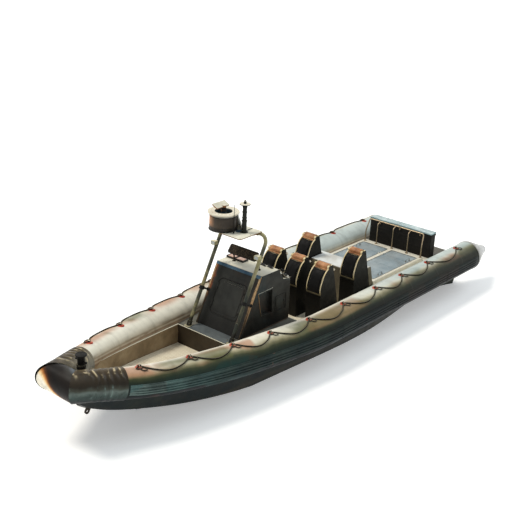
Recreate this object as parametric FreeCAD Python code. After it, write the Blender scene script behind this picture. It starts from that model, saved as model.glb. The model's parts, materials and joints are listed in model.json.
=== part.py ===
import FreeCAD, Part
import math
import os

from FreeCAD import Vector as V

# An open rigid inflatable boat, in millimetres.
# +X forward, +Y to port, +Z up, origin on the centreline at the waterline amidships.

# Running clearances
FIT = 0.3              # between pieces that are bolted or bonded together
SWING = 6.0            # round a lid or door that opens
PIN_GAP = 0.05         # between a hinge pin and its knuckle

# Inflatable collar
TUBE_R = 303.0
TUBE_Y = 1159.0
TUBE_Z = 644.0
BEND_X = 266.0
BOW_X = 5115.0
BOW_Y = 285.0
BOW_Z = 995.0
BOW_R = 225.0
# share of the bow's length, then of its sweep inwards, its rise and its taper
COLLAR_SHARES = (
    (0.0, 0.0, 0.0, 0.0),
    (0.276, 0.134, 0.063, 0.05),
    (0.531, 0.305, 0.25, 0.27),
    (0.765, 0.564, 0.524, 0.65),
    (1.0, 1.0, 1.0, 1.0),
)
COLLAR_RINGS = 10

# Cones on the collar's after ends: share of length, share of radius
CONE_X = -4781.0
CONE_LENGTH = 742.0
CONE_RISE = 170.0
CONE_SHAPE = ((0.0, 1.0), (0.3, 0.95), (0.6, 0.77), (0.85, 0.5), (1.0, 0.2))
CONE_LAP = 44.0
CONE_SKIN = 6.0

# Chafe sleeves round the collar's forward ends
SLEEVE_X = 4330.0
SLEEVE_SKIN = 9.0

# Rubbing strake along the collar's outer side, in degrees from the horizontal
STRAKE_START_X = -4700.0
STRAKE_END_X = 4260.0
STRAKE_LOW = -34.0
STRAKE_HIGH = -2.0
STRAKE_BASE = 12.0
STRAKE_RIB = 15.0
STRAKE_RIBS = 3

# Patches and eyes that carry the grab lines
PATCH_XS = (-4216.0, -3063.0, -2118.0, -1225.0, -206.0, 764.0, 1674.0, 2501.0, 3279.0, 4060.0)
PATCH_R = 62.0
PATCH_THICK = 5.0
EYE_R = 30.0
EYE_WIRE_R = 5.0
LINE_R = 8.0
KNOT_R = 11.0
LINE_BEND = 60.0
# one bay of the grab line: share of the bay from its forward eye, degrees outboard of the
# tube's top, gap from the tube's skin to the middle of the line
LINE_ROUTE = (
    (0.03, 2.0, 17.0),
    (0.2, 24.0, 17.0),
    (0.5, 40.0, 18.0),
    (0.8, 26.0, 17.0),
    (0.97, 3.0, 17.0),
)

# Hull: station x, keel z, chine half width, chine z
TRANSOM_X = -4575.0
HULL_STATIONS = (
    (TRANSOM_X, -576.0, 978.0, -150.0),
    (-1850.0, -572.0, 978.0, -119.0),
    (150.0, -560.0, 978.0, -80.0),
    (1685.0, -480.0, 876.0, -20.0),
    (2999.0, -268.0, 721.0, 127.0),
    (3700.0, -38.0, 500.0, 205.0),
    (4260.0, 190.0, 325.0, 315.0),
    (4650.0, 362.0, 180.0, 425.0),
    (4900.0, 520.0, 70.0, 560.0),
)
HULL_TOP = 600.0
HULL_SIDE_SHARE = 0.2
SPRAY_RAILS = ((0.38, -3100.0), (0.70, TRANSOM_X))    # share of the bottom, after end
SPRAY_END_X = 4000.0
SPRAY_WIDTH = 46.0
SPRAY_DEPTH = 30.0

# Deck heights and skins
DECK_Z = 700.0
SOLE_Z = 360.0
SOLE_PLATE = 12.0
SOLE_MARGIN = 14.0
LINER_SKIN = 18.0
COAMING_WIDTH = 26.0
COAMING_HEIGHT = 14.0

# Fore well
WELL_SILL_X = 2135.0
WELL_HALF = 640.0
WELL_FRONT_X = 4690.0
WELL_SOLE_SLOPE = 0.114

# Cockpit
COCKPIT_FRONT_X = 500.0
COCKPIT_REAR_X = -1820.0
COCKPIT_HALF = 735.0

# Console
CON_FRONT_X = 1833.0
CON_REAR_X = 525.0
CON_HALF = 522.0
CON_TOP_Z = 1719.0
CON_TOP_FRONT_X = 1322.0
CON_TOP_REAR_X = 871.0
DASH_X = 727.0
DASH_Z = 1507.0
SHELF_X = 535.0
SHELF_Z = 1470.0
CON_WALL = 22.0
CON_ROUND = 26.0
HATCH_HALF = 310.0
HATCH_LOW = 0.235       # share of the front face's length, from its foot
HATCH_HIGH = 0.775
HATCH_ROUND = 90.0
HATCH_RIM = 44.0
HATCH_PROUD = 8.0
RECESS = ((1035.0, 980.0), (1300.0, 1000.0), (1390.0, 1405.0), (1052.0, 1415.0))
RECESS_DEPTH = 60.0
RECESS_FRAME = 22.0
RECESS_PROUD = 12.0
DOOR_REAR_X = 665.0
DOOR_FRONT_X = 935.0
DOOR_LOW_Z = 960.0
DOOR_HIGH_Z = 1232.0
DOOR_ROUND = 24.0
DISPLAYS = ((950.0, -505.0), (950.0, -300.0))
DISPLAY_LENGTH = 150.0
DISPLAY_WIDTH = 190.0
DISPLAY_HEIGHT = 30.0
STEP_FRONT_X = 2105.0
STEP_HALF = 425.0
STEP_THICK = 10.0

# Butt hinges
HINGE_R = 9.0
HINGE_PIN_R = 4.0
HINGE_LEAF = 46.0
HINGE_PLATE = 4.0
HINGE_LENGTH = 120.0

# Helm
HELM_Z = 1255.0
HELM_TILT = 20.0
HELM_REACH = 100.0
HELM_R = 175.0
HELM_RIM_R = 13.0
HELM_HUB_R = 42.0
HELM_SHAFT_R = 14.0
HELM_BOSS_R = 48.0
HELM_BOSS = 55.0

# Throttle box on the dash shelf
THROTTLE_X = 640.0
THROTTLE_Y = 440.0
THROTTLE_LENGTH = 110.0
THROTTLE_WIDTH = 84.0
THROTTLE_HEIGHT = 62.0
THROTTLE_TAPER = 0.6
LEVER_REACH = 120.0

# Wind deflector over the console
DEFLECTOR_HALF = 315.0
DEFLECTOR_LOW = (1280.0, 1915.0)
DEFLECTOR_HIGH = (1185.0, 2046.0)
DEFLECTOR_THICK = 9.0
DEFLECTOR_POST_Y = 285.0
DEFLECTOR_FOOT_X = 1136.0
DEFLECTOR_POST_R = 13.0

# Arch
ARCH_R = 32.0
ARCH_FOOT_X = 2010.0
ARCH_FOOT_Z = 752.0
ARCH_HALF = 488.0
ARCH_TOP_Z = 2398.0
ARCH_SLOPE = 0.5
ARCH_BEND = 155.0
ARCH_FOOT_LENGTH = 136.0
ARCH_FOOT_WIDTH = 120.0
ARCH_FOOT_THICK = 16.0
ARCH_SOCKET_R = 43.0
ARCH_SOCKET = 90.0
CLAMP_Z = 1330.0
CLAMP_R = 47.0
CLAMP_WIDTH = 60.0
CLAMP_BAR_R = 17.0

# Floodlights on the arch
LAMP_Z = 2085.0
LAMP_WIDTH = 96.0
LAMP_HEIGHT = 70.0
LAMP_LENGTH = 92.0
LAMP_ROUND = 10.0
LAMP_WALL = 7.0
LAMP_BEZEL = 10.0
LENS_THICK = 6.0

# Instrument plate
PLATE_FRONT_X = 1746.0
PLATE_REAR_X = 1165.0
PLATE_HALF = 354.0
PLATE_THICK = 14.0
PLATE_ROUND = 30.0
PLATE_RIB_Y = 250.0
PLATE_Z = ARCH_TOP_Z + ARCH_R + FIT + PLATE_THICK

# Scanner drum on the plate
DRUM_X = 1545.0
DRUM_Y = -200.0
DRUM_R = 236.0
DRUM_RIM_R = 268.0
DRUM_RIM = 22.0
DRUM_BORE_R = 150.0
DRUM_HEIGHT = 310.0
DRUM_FLOOR = 60.0
HUB_R = 46.0
HUB_HEIGHT = 340.0
SPINDLE_R = 20.0
SPINDLE_DEPTH = 70.0
HEAD_Z = 2858.0
HEAD_LENGTH = 310.0
HEAD_WIDTH = 130.0
HEAD_THICK = 20.0
HEAD_TILT = 25.0       # degrees, port edge down
HEAD_SHIFT_X = 30.0
HEAD_SHIFT_Y = -42.0
SKIRT_HEIGHT = 280.0
SKIRT_FOOT_R = 342.0
SKIRT_TOP_R = 240.0
SKIRT_THICK = 16.0
SKIRT_START = 122.0    # degrees from forward towards port
SKIRT_SWEEP = 96.0

# Sensor mast on the plate
MAST_X = 1430.0
MAST_Y = 165.0
MAST_R = 41.0
MAST_TOP_R = 36.0
MAST_STEP_Z = 2642.0
MAST_RING_R = 48.0
MAST_RING = 14.0
MAST_TOP_Z = 2932.0
MAST_DISC_R = 94.0
MAST_DISC = 12.0
MAST_KNOB_R = 24.0
MAST_KNOB = 44.0
MAST_TIP_R = 13.0
MAST_TIP = 20.0
WHIP_X = 1602.0
WHIP_Y = 86.0
WHIP_R = 4.5
WHIP_HEIGHT = 497.0

# Seats: x of the top front edge and y of the middle
SEATS = ((-317.0, 548.0), (-317.0, 0.0), (-317.0, -548.0), (-1363.0, 548.0), (-1363.0, -548.0))
SEAT_HALF = 163.0
SEAT_TOP_Z = 1498.0
SEAT_BACK = 133.0
SEAT_RAKE = 0.27
# front of the saddle: ahead of the top front edge, height
SADDLE = ((-3.0, 1440.0), (111.0, 1339.0), (166.0, 1223.0), (199.0, 1111.0), (188.0, 1000.0))
SEAT_FOOT = 173.0
SEAT_RAIL = 26.0
PAD_DEPTH = 34.0
PAD_PROUD = 8.0
SEAT_LEDGE_Z = 940.0
SEAT_LEDGE = 12.0
HANDLE_R = 14.0
HANDLE_HALF = 118.0
HANDLE_Z = 1350.0
HANDLE_REACH = 105.0
HANDLE_BEND = 45.0

# Engine casing between and behind the after seats
CASING_FRONT_X = -1240.0
CASING_NOSE_HALF = 376.0
CASING_HALF = 711.0
CASING_TOP_Z = 1108.0
CASING_REAR_X = -1715.0
CASING_RAKE = 0.295
CASING_ROUND = 22.0

# Aft deck and its hatches
AFT_DECK_Z = 772.0
AFT_FRAME_REAR_X = -3665.0
AFT_FRAME_HALF = 727.0
RIB_WIDTH = 100.0
FRAME_SIDE = 62.0
LID_FRONT_X = -1925.0
LID_REAR_X = -3520.0
LID_THICK = 26.0
LID_ROUND = 34.0
LID_LEDGE = 22.0
LID_HANDLE_XS = (-2226.0, -3242.0)
LID_HANDLE_Y = 612.0
LID_HANDLE_HALF = 66.0
LID_HANDLE_HEIGHT = 46.0
LID_HANDLE_R = 8.0
BAY_FLOOR_Z = 120.0
BAY_SIDE = 14.0
ENGINE_LENGTH = 1100.0
ENGINE_WIDTH = 440.0
ENGINE_HEIGHT = 460.0

# Guard rail ahead of the stern locker
RAIL_FOOT_X = -3611.0
RAIL_X = -3700.0
RAIL_Z = 1255.0
RAIL_KINK_Z = 1010.0
RAIL_FOOT_HALF = 690.0
RAIL_HALF = 665.0
RAIL_R = 19.0
RAIL_POST_R = 15.0
RAIL_BEND = 75.0
RAIL_POST_YS = (-405.0, -18.0, 353.0)
RAIL_FOOT_R = 40.0
RAIL_FOOT_THICK = 10.0

# Stern locker
LOCKER_X = -3854.0
LOCKER_DEPTH = 190.0
LOCKER_HALF = 752.0
LOCKER_TOP_Z = 1239.0
LOCKER_LID = 22.0
LOCKER_LAP = 10.0

# Bow bollard
BOLLARD_X = 4802.0
BOLLARD_R = 38.0
BOLLARD_CAP_R = 62.0
BOLLARD_CAP = 20.0
BOLLARD_TOP_Z = 1343.0
BOLLARD_PIN_Z = 1235.0
BOLLARD_PIN_R = 12.0
BOLLARD_PIN_HALF = 95.0
BOLLARD_BASE = 84.0
BOLLARD_BASE_THICK = 14.0

# Towing and lifting eyes
EYE_PLATE = 20.0
EYE_PLATE_R = 46.0
EYE_BORE_R = 18.0
BOW_EYE_X = 4690.0
STERN_EYE_Y = 640.0
STERN_EYE_Z = 290.0
EYE_REACH = 46.0

# Waterjets
JET_Y = 420.0
JET_Z = -170.0
JET_R = 190.0
JET_FLANGE_R = 212.0
JET_FLANGE = 16.0
JET_END_X = -4700.0
JET_TUBE_R = 100.0
JET_TUBE_BORE_R = 84.0
JET_TUBE_X = -4840.0
NOZZLE_PIVOT_X = -4850.0
NOZZLE_FRONT = 30.0
NOZZLE_FRONT_R = 164.0
NOZZLE_REAR = 210.0
NOZZLE_REAR_R = 135.0
NOZZLE_WALL = 14.0
EAR_NEAR = 171.0
EAR_FAR = 186.0
EAR_HALF = 30.0
JET_PIN_R = 12.0
BUCKET_BACK = 110.0
BUCKET_R = 190.0
BUCKET_WALL = 12.0
BUCKET_HALF = 176.0
BUCKET_SIDE = 10.0
BUCKET_LOW = 42.0
BUCKET_HIGH = 104.0
BUCKET_BOSS_R = 34.0

# Water intakes in the hull's bottom
INTAKE_X = -3600.0
INTAKE_LENGTH = 620.0
INTAKE_WIDTH = 260.0
INTAKE_DEPTH = 90.0
INTAKE_FRAME = 24.0
INTAKE_PLATE = 14.0
INTAKE_BARS = 7
INTAKE_BAR = 9.0


def box(x0, x1, y0, y1, z0, z1):
    """A block between two corners."""
    return Part.makeBox(x1 - x0, y1 - y0, z1 - z0, V(x0, y0, z0))


def rod(start, end, radius):
    """A round bar between two points."""
    start = V(*start)
    end = V(*end)
    return Part.makeCylinder(radius, (end - start).Length, start, end - start)


def prism(points, direction):
    """A flat polygon pushed along a direction."""
    points = [V(*p) for p in points]
    return Part.Face(Part.makePolygon(points + points[:1])).extrude(V(*direction))


def side_plate(outline, y0, y1):
    """An outline in x and z, between two values of y."""
    return prism([(x, y0, z) for x, z in outline], (0, y1 - y0, 0))


def bent_path(points, bend):
    """Straight runs joined by arcs of one radius."""
    points = [V(*p) for p in points]
    edges = []
    last = points[0]
    for before, corner, after in zip(points, points[1:], points[2:]):
        arrive = (corner - before).normalize()
        leave = (after - corner).normalize()
        half_turn = arrive.getAngle(leave) / 2
        cut = bend * math.tan(half_turn)
        start = corner - arrive * cut
        end = corner + leave * cut
        inward = (leave - arrive).normalize()
        middle = corner + inward * (bend / math.cos(half_turn) - bend)
        if (start - last).Length > 0.01:
            edges.append(Part.LineSegment(last, start).toShape())
        edges.append(Part.Arc(start, middle, end).toShape())
        last = end
    edges.append(Part.LineSegment(last, points[-1]).toShape())
    return Part.Wire(edges)


def bent_tube(points, radius, bend):
    """A round tube along a bent path."""
    path = bent_path(points, bend)
    start = path.Vertexes[0].Point
    direction = V(*points[1]) - V(*points[0])
    ring = Part.Wire([Part.makeCircle(radius, start, direction)])
    return path.makePipeShell([ring], True, False)


def both_sides(shape):
    """The shape and its mirror image in the centreline."""
    return [shape, shape.mirror(V(0, 0, 0), V(0, 1, 0))]


def compound(shapes):
    return Part.makeCompound(shapes)


def joined(shapes):
    """One solid of shapes that touch."""
    return shapes[0].multiFuse(shapes[1:]).removeSplitter()


def smooth(table, column, t, level_start=False):
    """A smooth value between the rows of a table whose first column rises."""
    last = len(table) - 1
    i = 0
    while i < last - 1 and t > table[i + 1][0]:
        i += 1

    def chord(k):
        rise = table[k + 1][column] - table[k][column]
        return rise / (table[k + 1][0] - table[k][0])

    def slope(k):
        if k == 0:
            return 0.0 if level_start else chord(0)
        if k == last:
            return chord(last - 1)
        return (chord(k - 1) + chord(k)) / 2

    width = table[i + 1][0] - table[i][0]
    s = (t - table[i][0]) / width
    return ((1 + 2 * s) * (1 - s) ** 2 * table[i][column]
            + s * (1 - s) ** 2 * width * slope(i)
            + s * s * (3 - 2 * s) * table[i + 1][column]
            - s * s * (1 - s) * width * slope(i + 1))


def collar_curve(x):
    """Half width, height and radius of the collar as it was drawn, before it is cut into panels."""
    t = max(0.0, (x - BEND_X) / (BOW_X - BEND_X))
    if t == 0.0:
        return TUBE_Y, TUBE_Z, TUBE_R
    return (TUBE_Y - (TUBE_Y - BOW_Y) * smooth(COLLAR_SHARES, 1, t, True),
            TUBE_Z + (BOW_Z - TUBE_Z) * smooth(COLLAR_SHARES, 2, t, True),
            TUBE_R - (TUBE_R - BOW_R) * smooth(COLLAR_SHARES, 3, t, True))


def collar_xs():
    """Stations of the seams in the collar's curved part."""
    return [BEND_X + (BOW_X - BEND_X) * i / COLLAR_RINGS for i in range(COLLAR_RINGS + 1)]


def collar(x):
    """Half width, height and radius of the collar at x, on the straight panel between two seams."""
    if x <= BEND_X:
        return TUBE_Y, TUBE_Z, TUBE_R
    panel = (BOW_X - BEND_X) / COLLAR_RINGS
    i = min(COLLAR_RINGS - 1, int((x - BEND_X) / panel))
    share = (x - BEND_X) / panel - i
    start = collar_curve(BEND_X + panel * i)
    end = collar_curve(BEND_X + panel * (i + 1))
    return tuple(a + (b - a) * share for a, b in zip(start, end))


def collar_heading(x):
    """Direction of the collar's centreline at x, towards the bow."""
    step = 5.0
    y0, z0, r0 = collar_curve(x - step)
    y1, z1, r1 = collar_curve(min(x + step, BOW_X))
    dx = min(x + step, BOW_X) - (x - step)
    return V(dx, y1 - y0, z1 - z0).normalize()


def collar_ring(x, grow):
    """A circle round the collar's centreline."""
    y, z, r = collar(x)
    return Part.Wire([Part.makeCircle(r + grow, V(x, y, z), collar_heading(x))])


def mitre_block(ahead):
    """A large block on one side of the port mitre plane, ahead of it or behind."""
    heading = collar_heading(BOW_X)
    normal = V(heading.x, heading.y, 0).normalize() + V(0, -1, 0)
    normal.normalize()
    corner = V(BOW_X, BOW_Y, BOW_Z)
    size = 4000.0
    block = Part.makeBox(size, size, size, V(-size / 2, -size / 2, 0))
    facing = normal if ahead else normal * -1
    block.Placement = FreeCAD.Placement(corner, FreeCAD.Rotation(V(0, 0, 1), facing))
    return block


def collar_body(grow):
    """The port side tube from its cone to the mitre, in straight panels, grown by a margin."""
    rings = [Part.Wire([Part.makeCircle(TUBE_R + grow, V(CONE_X, TUBE_Y, TUBE_Z), V(1, 0, 0))])]
    rings += [collar_ring(x, grow) for x in collar_xs()]
    heading = collar_heading(BOW_X)
    past = V(BOW_X, BOW_Y, BOW_Z) + heading * (BOW_R * 1.4)
    rings.append(Part.Wire([Part.makeCircle(BOW_R + grow, past, heading)]))
    return Part.makeLoft(rings, True, True).cut(mitre_block(True))


def bow_body(grow):
    """The tube across the bow, mitred at both ends."""
    reach = BOW_Y + BOW_R * 2
    body = Part.makeCylinder(BOW_R + grow, 2 * reach, V(BOW_X, -reach, BOW_Z), V(0, 1, 0))
    for block in both_sides(mitre_block(False)):
        body = body.cut(block)
    return body


def all_collar(grow):
    """Everything that the collar takes up, to cut the hull and decks to."""
    return both_sides(collar_body(grow)) + [bow_body(grow)]


def collar_point(x, angle, out):
    """A point round the port tube, by its angle above the outboard side and its gap to the skin."""
    y, z, r = collar(x)
    heading = collar_heading(x) if x > BEND_X else V(1, 0, 0)
    outboard = V(0, 0, 1).cross(heading).normalize()
    upward = heading.cross(outboard)
    a = math.radians(angle)
    return V(x, y, z) + (outboard * math.cos(a) + upward * math.sin(a)) * (r + out)


def mirrored(shape):
    """The starboard twin of a port shape."""
    return shape.mirror(V(0, 0, 0), V(0, 1, 0))


def cut_by(shape, tools):
    for tool in tools:
        shape = shape.cut(tool)
    return shape


def runs_along(*direction):
    """A test for edges that run in one direction."""
    def test(edge):
        ends = [vertex.Point for vertex in edge.Vertexes]
        span = ends[-1] - ends[0]
        return span.Length > 1 and span.normalize().cross(V(*direction)).Length < 0.01
    return test


def rounded(shape, radius, chosen):
    """The shape with its chosen edges rounded."""
    return shape.makeFillet(radius, [edge for edge in shape.Edges if chosen(edge)])


def round_box(x0, x1, y0, y1, z0, z1, radius, *direction):
    """A block with the four edges that run in one direction rounded."""
    return rounded(box(x0, x1, y0, y1, z0, z1), radius, runs_along(*direction))


def inset(outline, amounts):
    """A closed outline with each side moved inwards by its own amount."""
    count = len(outline)
    area = sum(outline[i - 1][0] * outline[i][1] - outline[i][0] * outline[i - 1][1] for i in range(count))
    turn = 1.0 if area > 0 else -1.0
    lines = []
    for i in range(count):
        x0, y0 = outline[i]
        x1, y1 = outline[(i + 1) % count]
        length = math.hypot(x1 - x0, y1 - y0)
        way = ((x1 - x0) / length, (y1 - y0) / length)
        side = turn * amounts[i]
        lines.append((x0 - way[1] * side, y0 + way[0] * side, way))
    corners = []
    for i in range(count):
        ax, ay, a = lines[i - 1]
        bx, by, b = lines[i]
        reach = ((bx - ax) * b[1] - (by - ay) * b[0]) / (a[0] * b[1] - a[1] * b[0])
        corners.append((ax + a[0] * reach, ay + a[1] * reach))
    return corners


def hinge(middle, along, leaf_way, out):
    """The leaf's half and the fixed half of a butt hinge whose plates lie on one surface."""
    middle, along, leaf_way, out = V(*middle), V(*along), V(*leaf_way), V(*out)
    third = HINGE_LENGTH / 6

    def knuckle(a, b, radius):
        return rod(middle + along * a, middle + along * b, radius)

    def plate(a, b, way):
        low = middle - out * HINGE_R
        corners = [low + along * a, low + along * b, low + along * b + way * HINGE_LEAF,
                   low + along * a + way * HINGE_LEAF]
        return prism(corners, out * HINGE_PLATE)

    bore = knuckle(-third - 1, third + 1, HINGE_PIN_R + PIN_GAP)
    leaf = joined([knuckle(-third, third, HINGE_R), plate(-third, third, leaf_way)]).cut(bore)
    fixed = [knuckle(-2 * third, 2 * third, HINGE_PIN_R)]
    for side in (-1, 1):
        near = side * (third + 0.5)
        far = side * third * 3
        low, high = min(near, far), max(near, far)
        fixed.append(knuckle(low, high, HINGE_R))
        fixed.append(plate(low, high, leaf_way * -1))
    return leaf, joined(fixed)


def station(x):
    """Keel height, chine half width and chine height of the hull at x."""
    return tuple(smooth(HULL_STATIONS, k, x) for k in (1, 2, 3))


def ridge(x):
    """Half width and height of the fore well's coaming at x."""
    y, z, r = collar(x)
    sill_y, sill_z, sill_r = collar(WELL_SILL_X)
    margin = sill_y - sill_r - WELL_HALF
    return y - r - margin, DECK_Z + z - sill_z


def well_floor(x):
    return SOLE_Z + WELL_SOLE_SLOPE * (x - WELL_SILL_X)


def well_body(grow, low, high):
    """The fore well's plan grown by a margin, from low above its floor to high above its edge."""
    first = WELL_SILL_X - grow
    last = WELL_FRONT_X + grow
    count = 6
    sections = []
    for i in range(count + 1):
        x = first + (last - first) * i / count
        half, top = ridge(x)
        half += grow
        floor = well_floor(x) + low
        corners = [V(x, half, top + high), V(x, half, floor), V(x, -half, floor), V(x, -half, top + high)]
        sections.append(Part.makePolygon(corners + corners[:1]))
    return Part.makeLoft(sections, True, True)


def deck_body(grow):
    """The side decks and foredeck as one slab with its top grown by a margin."""
    first = WELL_SILL_X - LINER_SKIN
    last = BOW_X - BOW_R / 2
    count = 6
    sections = []
    for i in range(count + 1):
        x = first + (last - first) * i / count
        half = collar(x)[0]
        top = ridge(x)[1]
        low = HULL_TOP + collar(x)[1] - TUBE_Z - LINER_SKIN
        corners = [V(x, half, top + grow), V(x, half, low), V(x, -half, low), V(x, -half, top + grow)]
        sections.append(Part.makePolygon(corners + corners[:1]))
    return Part.makeLoft(sections, True, True)


def hull_section(x):
    """One frame of the hull as a closed wire, keel first."""
    keel_z, chine_y, chine_z = station(x)
    y, z, r = collar(x)
    top_y = y - HULL_SIDE_SHARE * r
    top_z = HULL_TOP + z - TUBE_Z
    corners = [V(x, 0, keel_z), V(x, chine_y, chine_z), V(x, top_y, top_z),
               V(x, -top_y, top_z), V(x, -chine_y, chine_z)]
    return Part.makePolygon(corners + corners[:1])


def bottom_point(x, share):
    """A point on the hull's bottom, by its share of the way from keel to chine."""
    keel_z, chine_y, chine_z = station(x)
    return V(x, chine_y * share, keel_z + (chine_z - keel_z) * share)


def spray_rail(share, start_x):
    """A rail of triangular section along the bottom."""
    count = 6
    sections = []
    for i in range(count + 1):
        x = start_x + (SPRAY_END_X - start_x) * i / count
        inner = bottom_point(x, share)
        slope = (bottom_point(x, 1.0) - bottom_point(x, 0.0)).normalize()
        fade = min(1.0, 0.35 + 0.65 * (SPRAY_END_X - x) / (SPRAY_END_X - BEND_X))
        outer = inner + slope * (SPRAY_WIDTH * fade)
        edge = V(x, outer.y, outer.z - SPRAY_DEPTH * fade)
        lift = V(0, 0, 8)
        corners = [inner + lift, outer + lift, edge]
        sections.append(Part.makePolygon(corners + corners[:1]))
    return Part.makeLoft(sections, True, True)


def bay_boxes(margin, low, high):
    """The two hatch openings in plan, moved inwards by a margin."""
    port = round_box(LID_REAR_X + margin, LID_FRONT_X - margin,
                     RIB_WIDTH / 2 + margin, AFT_FRAME_HALF - FRAME_SIDE - margin,
                     low, high, LID_ROUND, 0, 0, 1)
    return both_sides(port)


def intake_block(margin, depth_in, depth_out):
    """A block through the bottom at the port water intake, square to the bottom."""
    middle = bottom_point(INTAKE_X, JET_Y / station(INTAKE_X)[1])
    slope = bottom_point(INTAKE_X, 1.0) - bottom_point(INTAKE_X, 0.0)
    length = INTAKE_LENGTH / 2 - margin
    width = INTAKE_WIDTH / 2 - margin
    block = box(-length, length, -width, width, -depth_out, depth_in)
    block.Placement = FreeCAD.Placement(middle, FreeCAD.Rotation(V(0, 1, 0), slope))
    return block


def build_hull(tubes):
    """The deep V hull, cut to the collar, the wells, the engine bays and the water intakes."""
    hull = Part.makeLoft([hull_section(row[0]) for row in HULL_STATIONS], True, False)
    rails = [spray_rail(share, start) for share, start in SPRAY_RAILS]
    rails += [mirrored(rail) for rail in rails]
    hull = hull.multiFuse(rails)
    hull = cut_by(hull, tubes)
    margin = LINER_SKIN + FIT
    hull = hull.cut(well_body(margin, -margin, margin))
    hull = hull.cut(box(COCKPIT_REAR_X - margin, COCKPIT_FRONT_X + margin, -COCKPIT_HALF - margin,
                        COCKPIT_HALF + margin, SOLE_Z - margin, DECK_Z))
    hull = cut_by(hull, bay_boxes(LID_LEDGE + BAY_SIDE, BAY_FLOOR_Z, DECK_Z))
    hull = cut_by(hull, both_sides(intake_block(0.0, INTAKE_DEPTH, INTAKE_DEPTH)))
    return hull


def build_intakes():
    """The grilles over the two water intakes: a frame with bars along the boat."""
    frame = intake_block(FIT, INTAKE_PLATE, 0.0).cut(intake_block(INTAKE_FRAME, INTAKE_DEPTH, INTAKE_DEPTH))
    pieces = [frame]
    pitch = (INTAKE_WIDTH - 2 * INTAKE_FRAME) / (INTAKE_BARS + 1)
    for i in range(INTAKE_BARS):
        across = -INTAKE_WIDTH / 2 + INTAKE_FRAME + pitch * (i + 1)
        bar = box(-INTAKE_LENGTH / 2 + INTAKE_FRAME, INTAKE_LENGTH / 2 - INTAKE_FRAME,
                  across - INTAKE_BAR / 2, across + INTAKE_BAR / 2, 0, INTAKE_PLATE)
        bar.Placement = intake_block(0.0, 1.0, 1.0).Placement
        pieces.append(bar)
    return compound(both_sides(joined(pieces)))


def deck_slab(rear_x, front_x, tubes, hull):
    """A deck between the tubes, on top of the hull."""
    slab = box(rear_x, front_x, -TUBE_Y, TUBE_Y, HULL_TOP, DECK_Z)
    return cut_by(slab, tubes + [hull])


def build_fore_liner(tubes, hull):
    """The moulded fore well with its side decks and raised edge."""
    edge = deck_body(COAMING_HEIGHT).common(well_body(COAMING_WIDTH, 0.0, 2 * COAMING_HEIGHT))
    skin = well_body(LINER_SKIN, -LINER_SKIN, -COAMING_HEIGHT)
    liner = joined([deck_body(0.0), edge, skin])
    liner = liner.cut(well_body(0.0, 0.0, 4 * COAMING_HEIGHT))
    return largest(cut_by(liner, tubes + [hull]))


def largest(shape):
    """The biggest of the solids that a cut leaves."""
    return max(shape.Solids, key=lambda solid: solid.Volume)


def build_fore_sole():
    """The tread plate on the fore well's floor."""
    plate = well_body(-SOLE_MARGIN, FIT, 0.0)
    return plate.cut(well_body(0.0, FIT + SOLE_PLATE, 4 * COAMING_HEIGHT))


def build_cockpit_liner(tubes, hull):
    """The cockpit's floor, walls and side decks."""
    rear = COCKPIT_REAR_X - LINER_SKIN
    front = COCKPIT_FRONT_X + LINER_SKIN
    slab = box(rear, front, -TUBE_Y, TUBE_Y, HULL_TOP, DECK_Z)
    skin = box(rear, front, -COCKPIT_HALF - LINER_SKIN, COCKPIT_HALF + LINER_SKIN,
               SOLE_Z - LINER_SKIN, DECK_Z - 1)
    liner = joined([slab, skin])
    liner = liner.cut(box(COCKPIT_REAR_X, COCKPIT_FRONT_X, -COCKPIT_HALF, COCKPIT_HALF, SOLE_Z, DECK_Z + 1))
    return largest(cut_by(liner, tubes + [hull]))


def build_cockpit_sole():
    return box(COCKPIT_REAR_X + SOLE_MARGIN, COCKPIT_FRONT_X - SOLE_MARGIN, -COCKPIT_HALF + SOLE_MARGIN,
               COCKPIT_HALF - SOLE_MARGIN, SOLE_Z + FIT, SOLE_Z + SOLE_PLATE)


def casing_rear(z):
    return CASING_REAR_X - CASING_RAKE * (CASING_TOP_Z - z)


def build_aft_deck(tubes, hull):
    """The after deck with its raised frame and the ledges under the two lids."""
    slab = deck_slab(TRANSOM_X, COCKPIT_REAR_X - LINER_SKIN - FIT, tubes, hull)
    front = casing_rear(DECK_Z) - FIT
    frame = side_plate([(AFT_FRAME_REAR_X, DECK_Z), (front, DECK_Z),
                        (casing_rear(AFT_DECK_Z) - FIT, AFT_DECK_Z), (AFT_FRAME_REAR_X, AFT_DECK_Z)],
                       -AFT_FRAME_HALF, AFT_FRAME_HALF)
    deck = joined([slab, frame])
    deck = cut_by(deck, bay_boxes(0.0, AFT_DECK_Z - LID_THICK - FIT, AFT_DECK_Z + 1))
    deck = cut_by(deck, bay_boxes(LID_LEDGE, HULL_TOP - 1, AFT_DECK_Z))
    return joined([deck] + both_sides(lid_hinges()[1]))


def lid_hinges():
    """Both hinges of the port lid: the lid's half and the deck's half."""
    leaves = []
    fixed = []
    length = LID_FRONT_X - LID_REAR_X
    for share in (0.2, 0.8):
        middle = (LID_REAR_X + length * share, lid_hinge_y(), lid_hinge_z())
        leaf, root = hinge(middle, (1, 0, 0), (0, 1, 0), (0, 0, 1))
        leaves.append(leaf)
        fixed.append(root)
    return compound(leaves), compound(fixed)


def lid_hinge_y():
    return RIB_WIDTH / 2 + SWING / 2


def lid_hinge_z():
    return AFT_DECK_Z + HINGE_R


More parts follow.
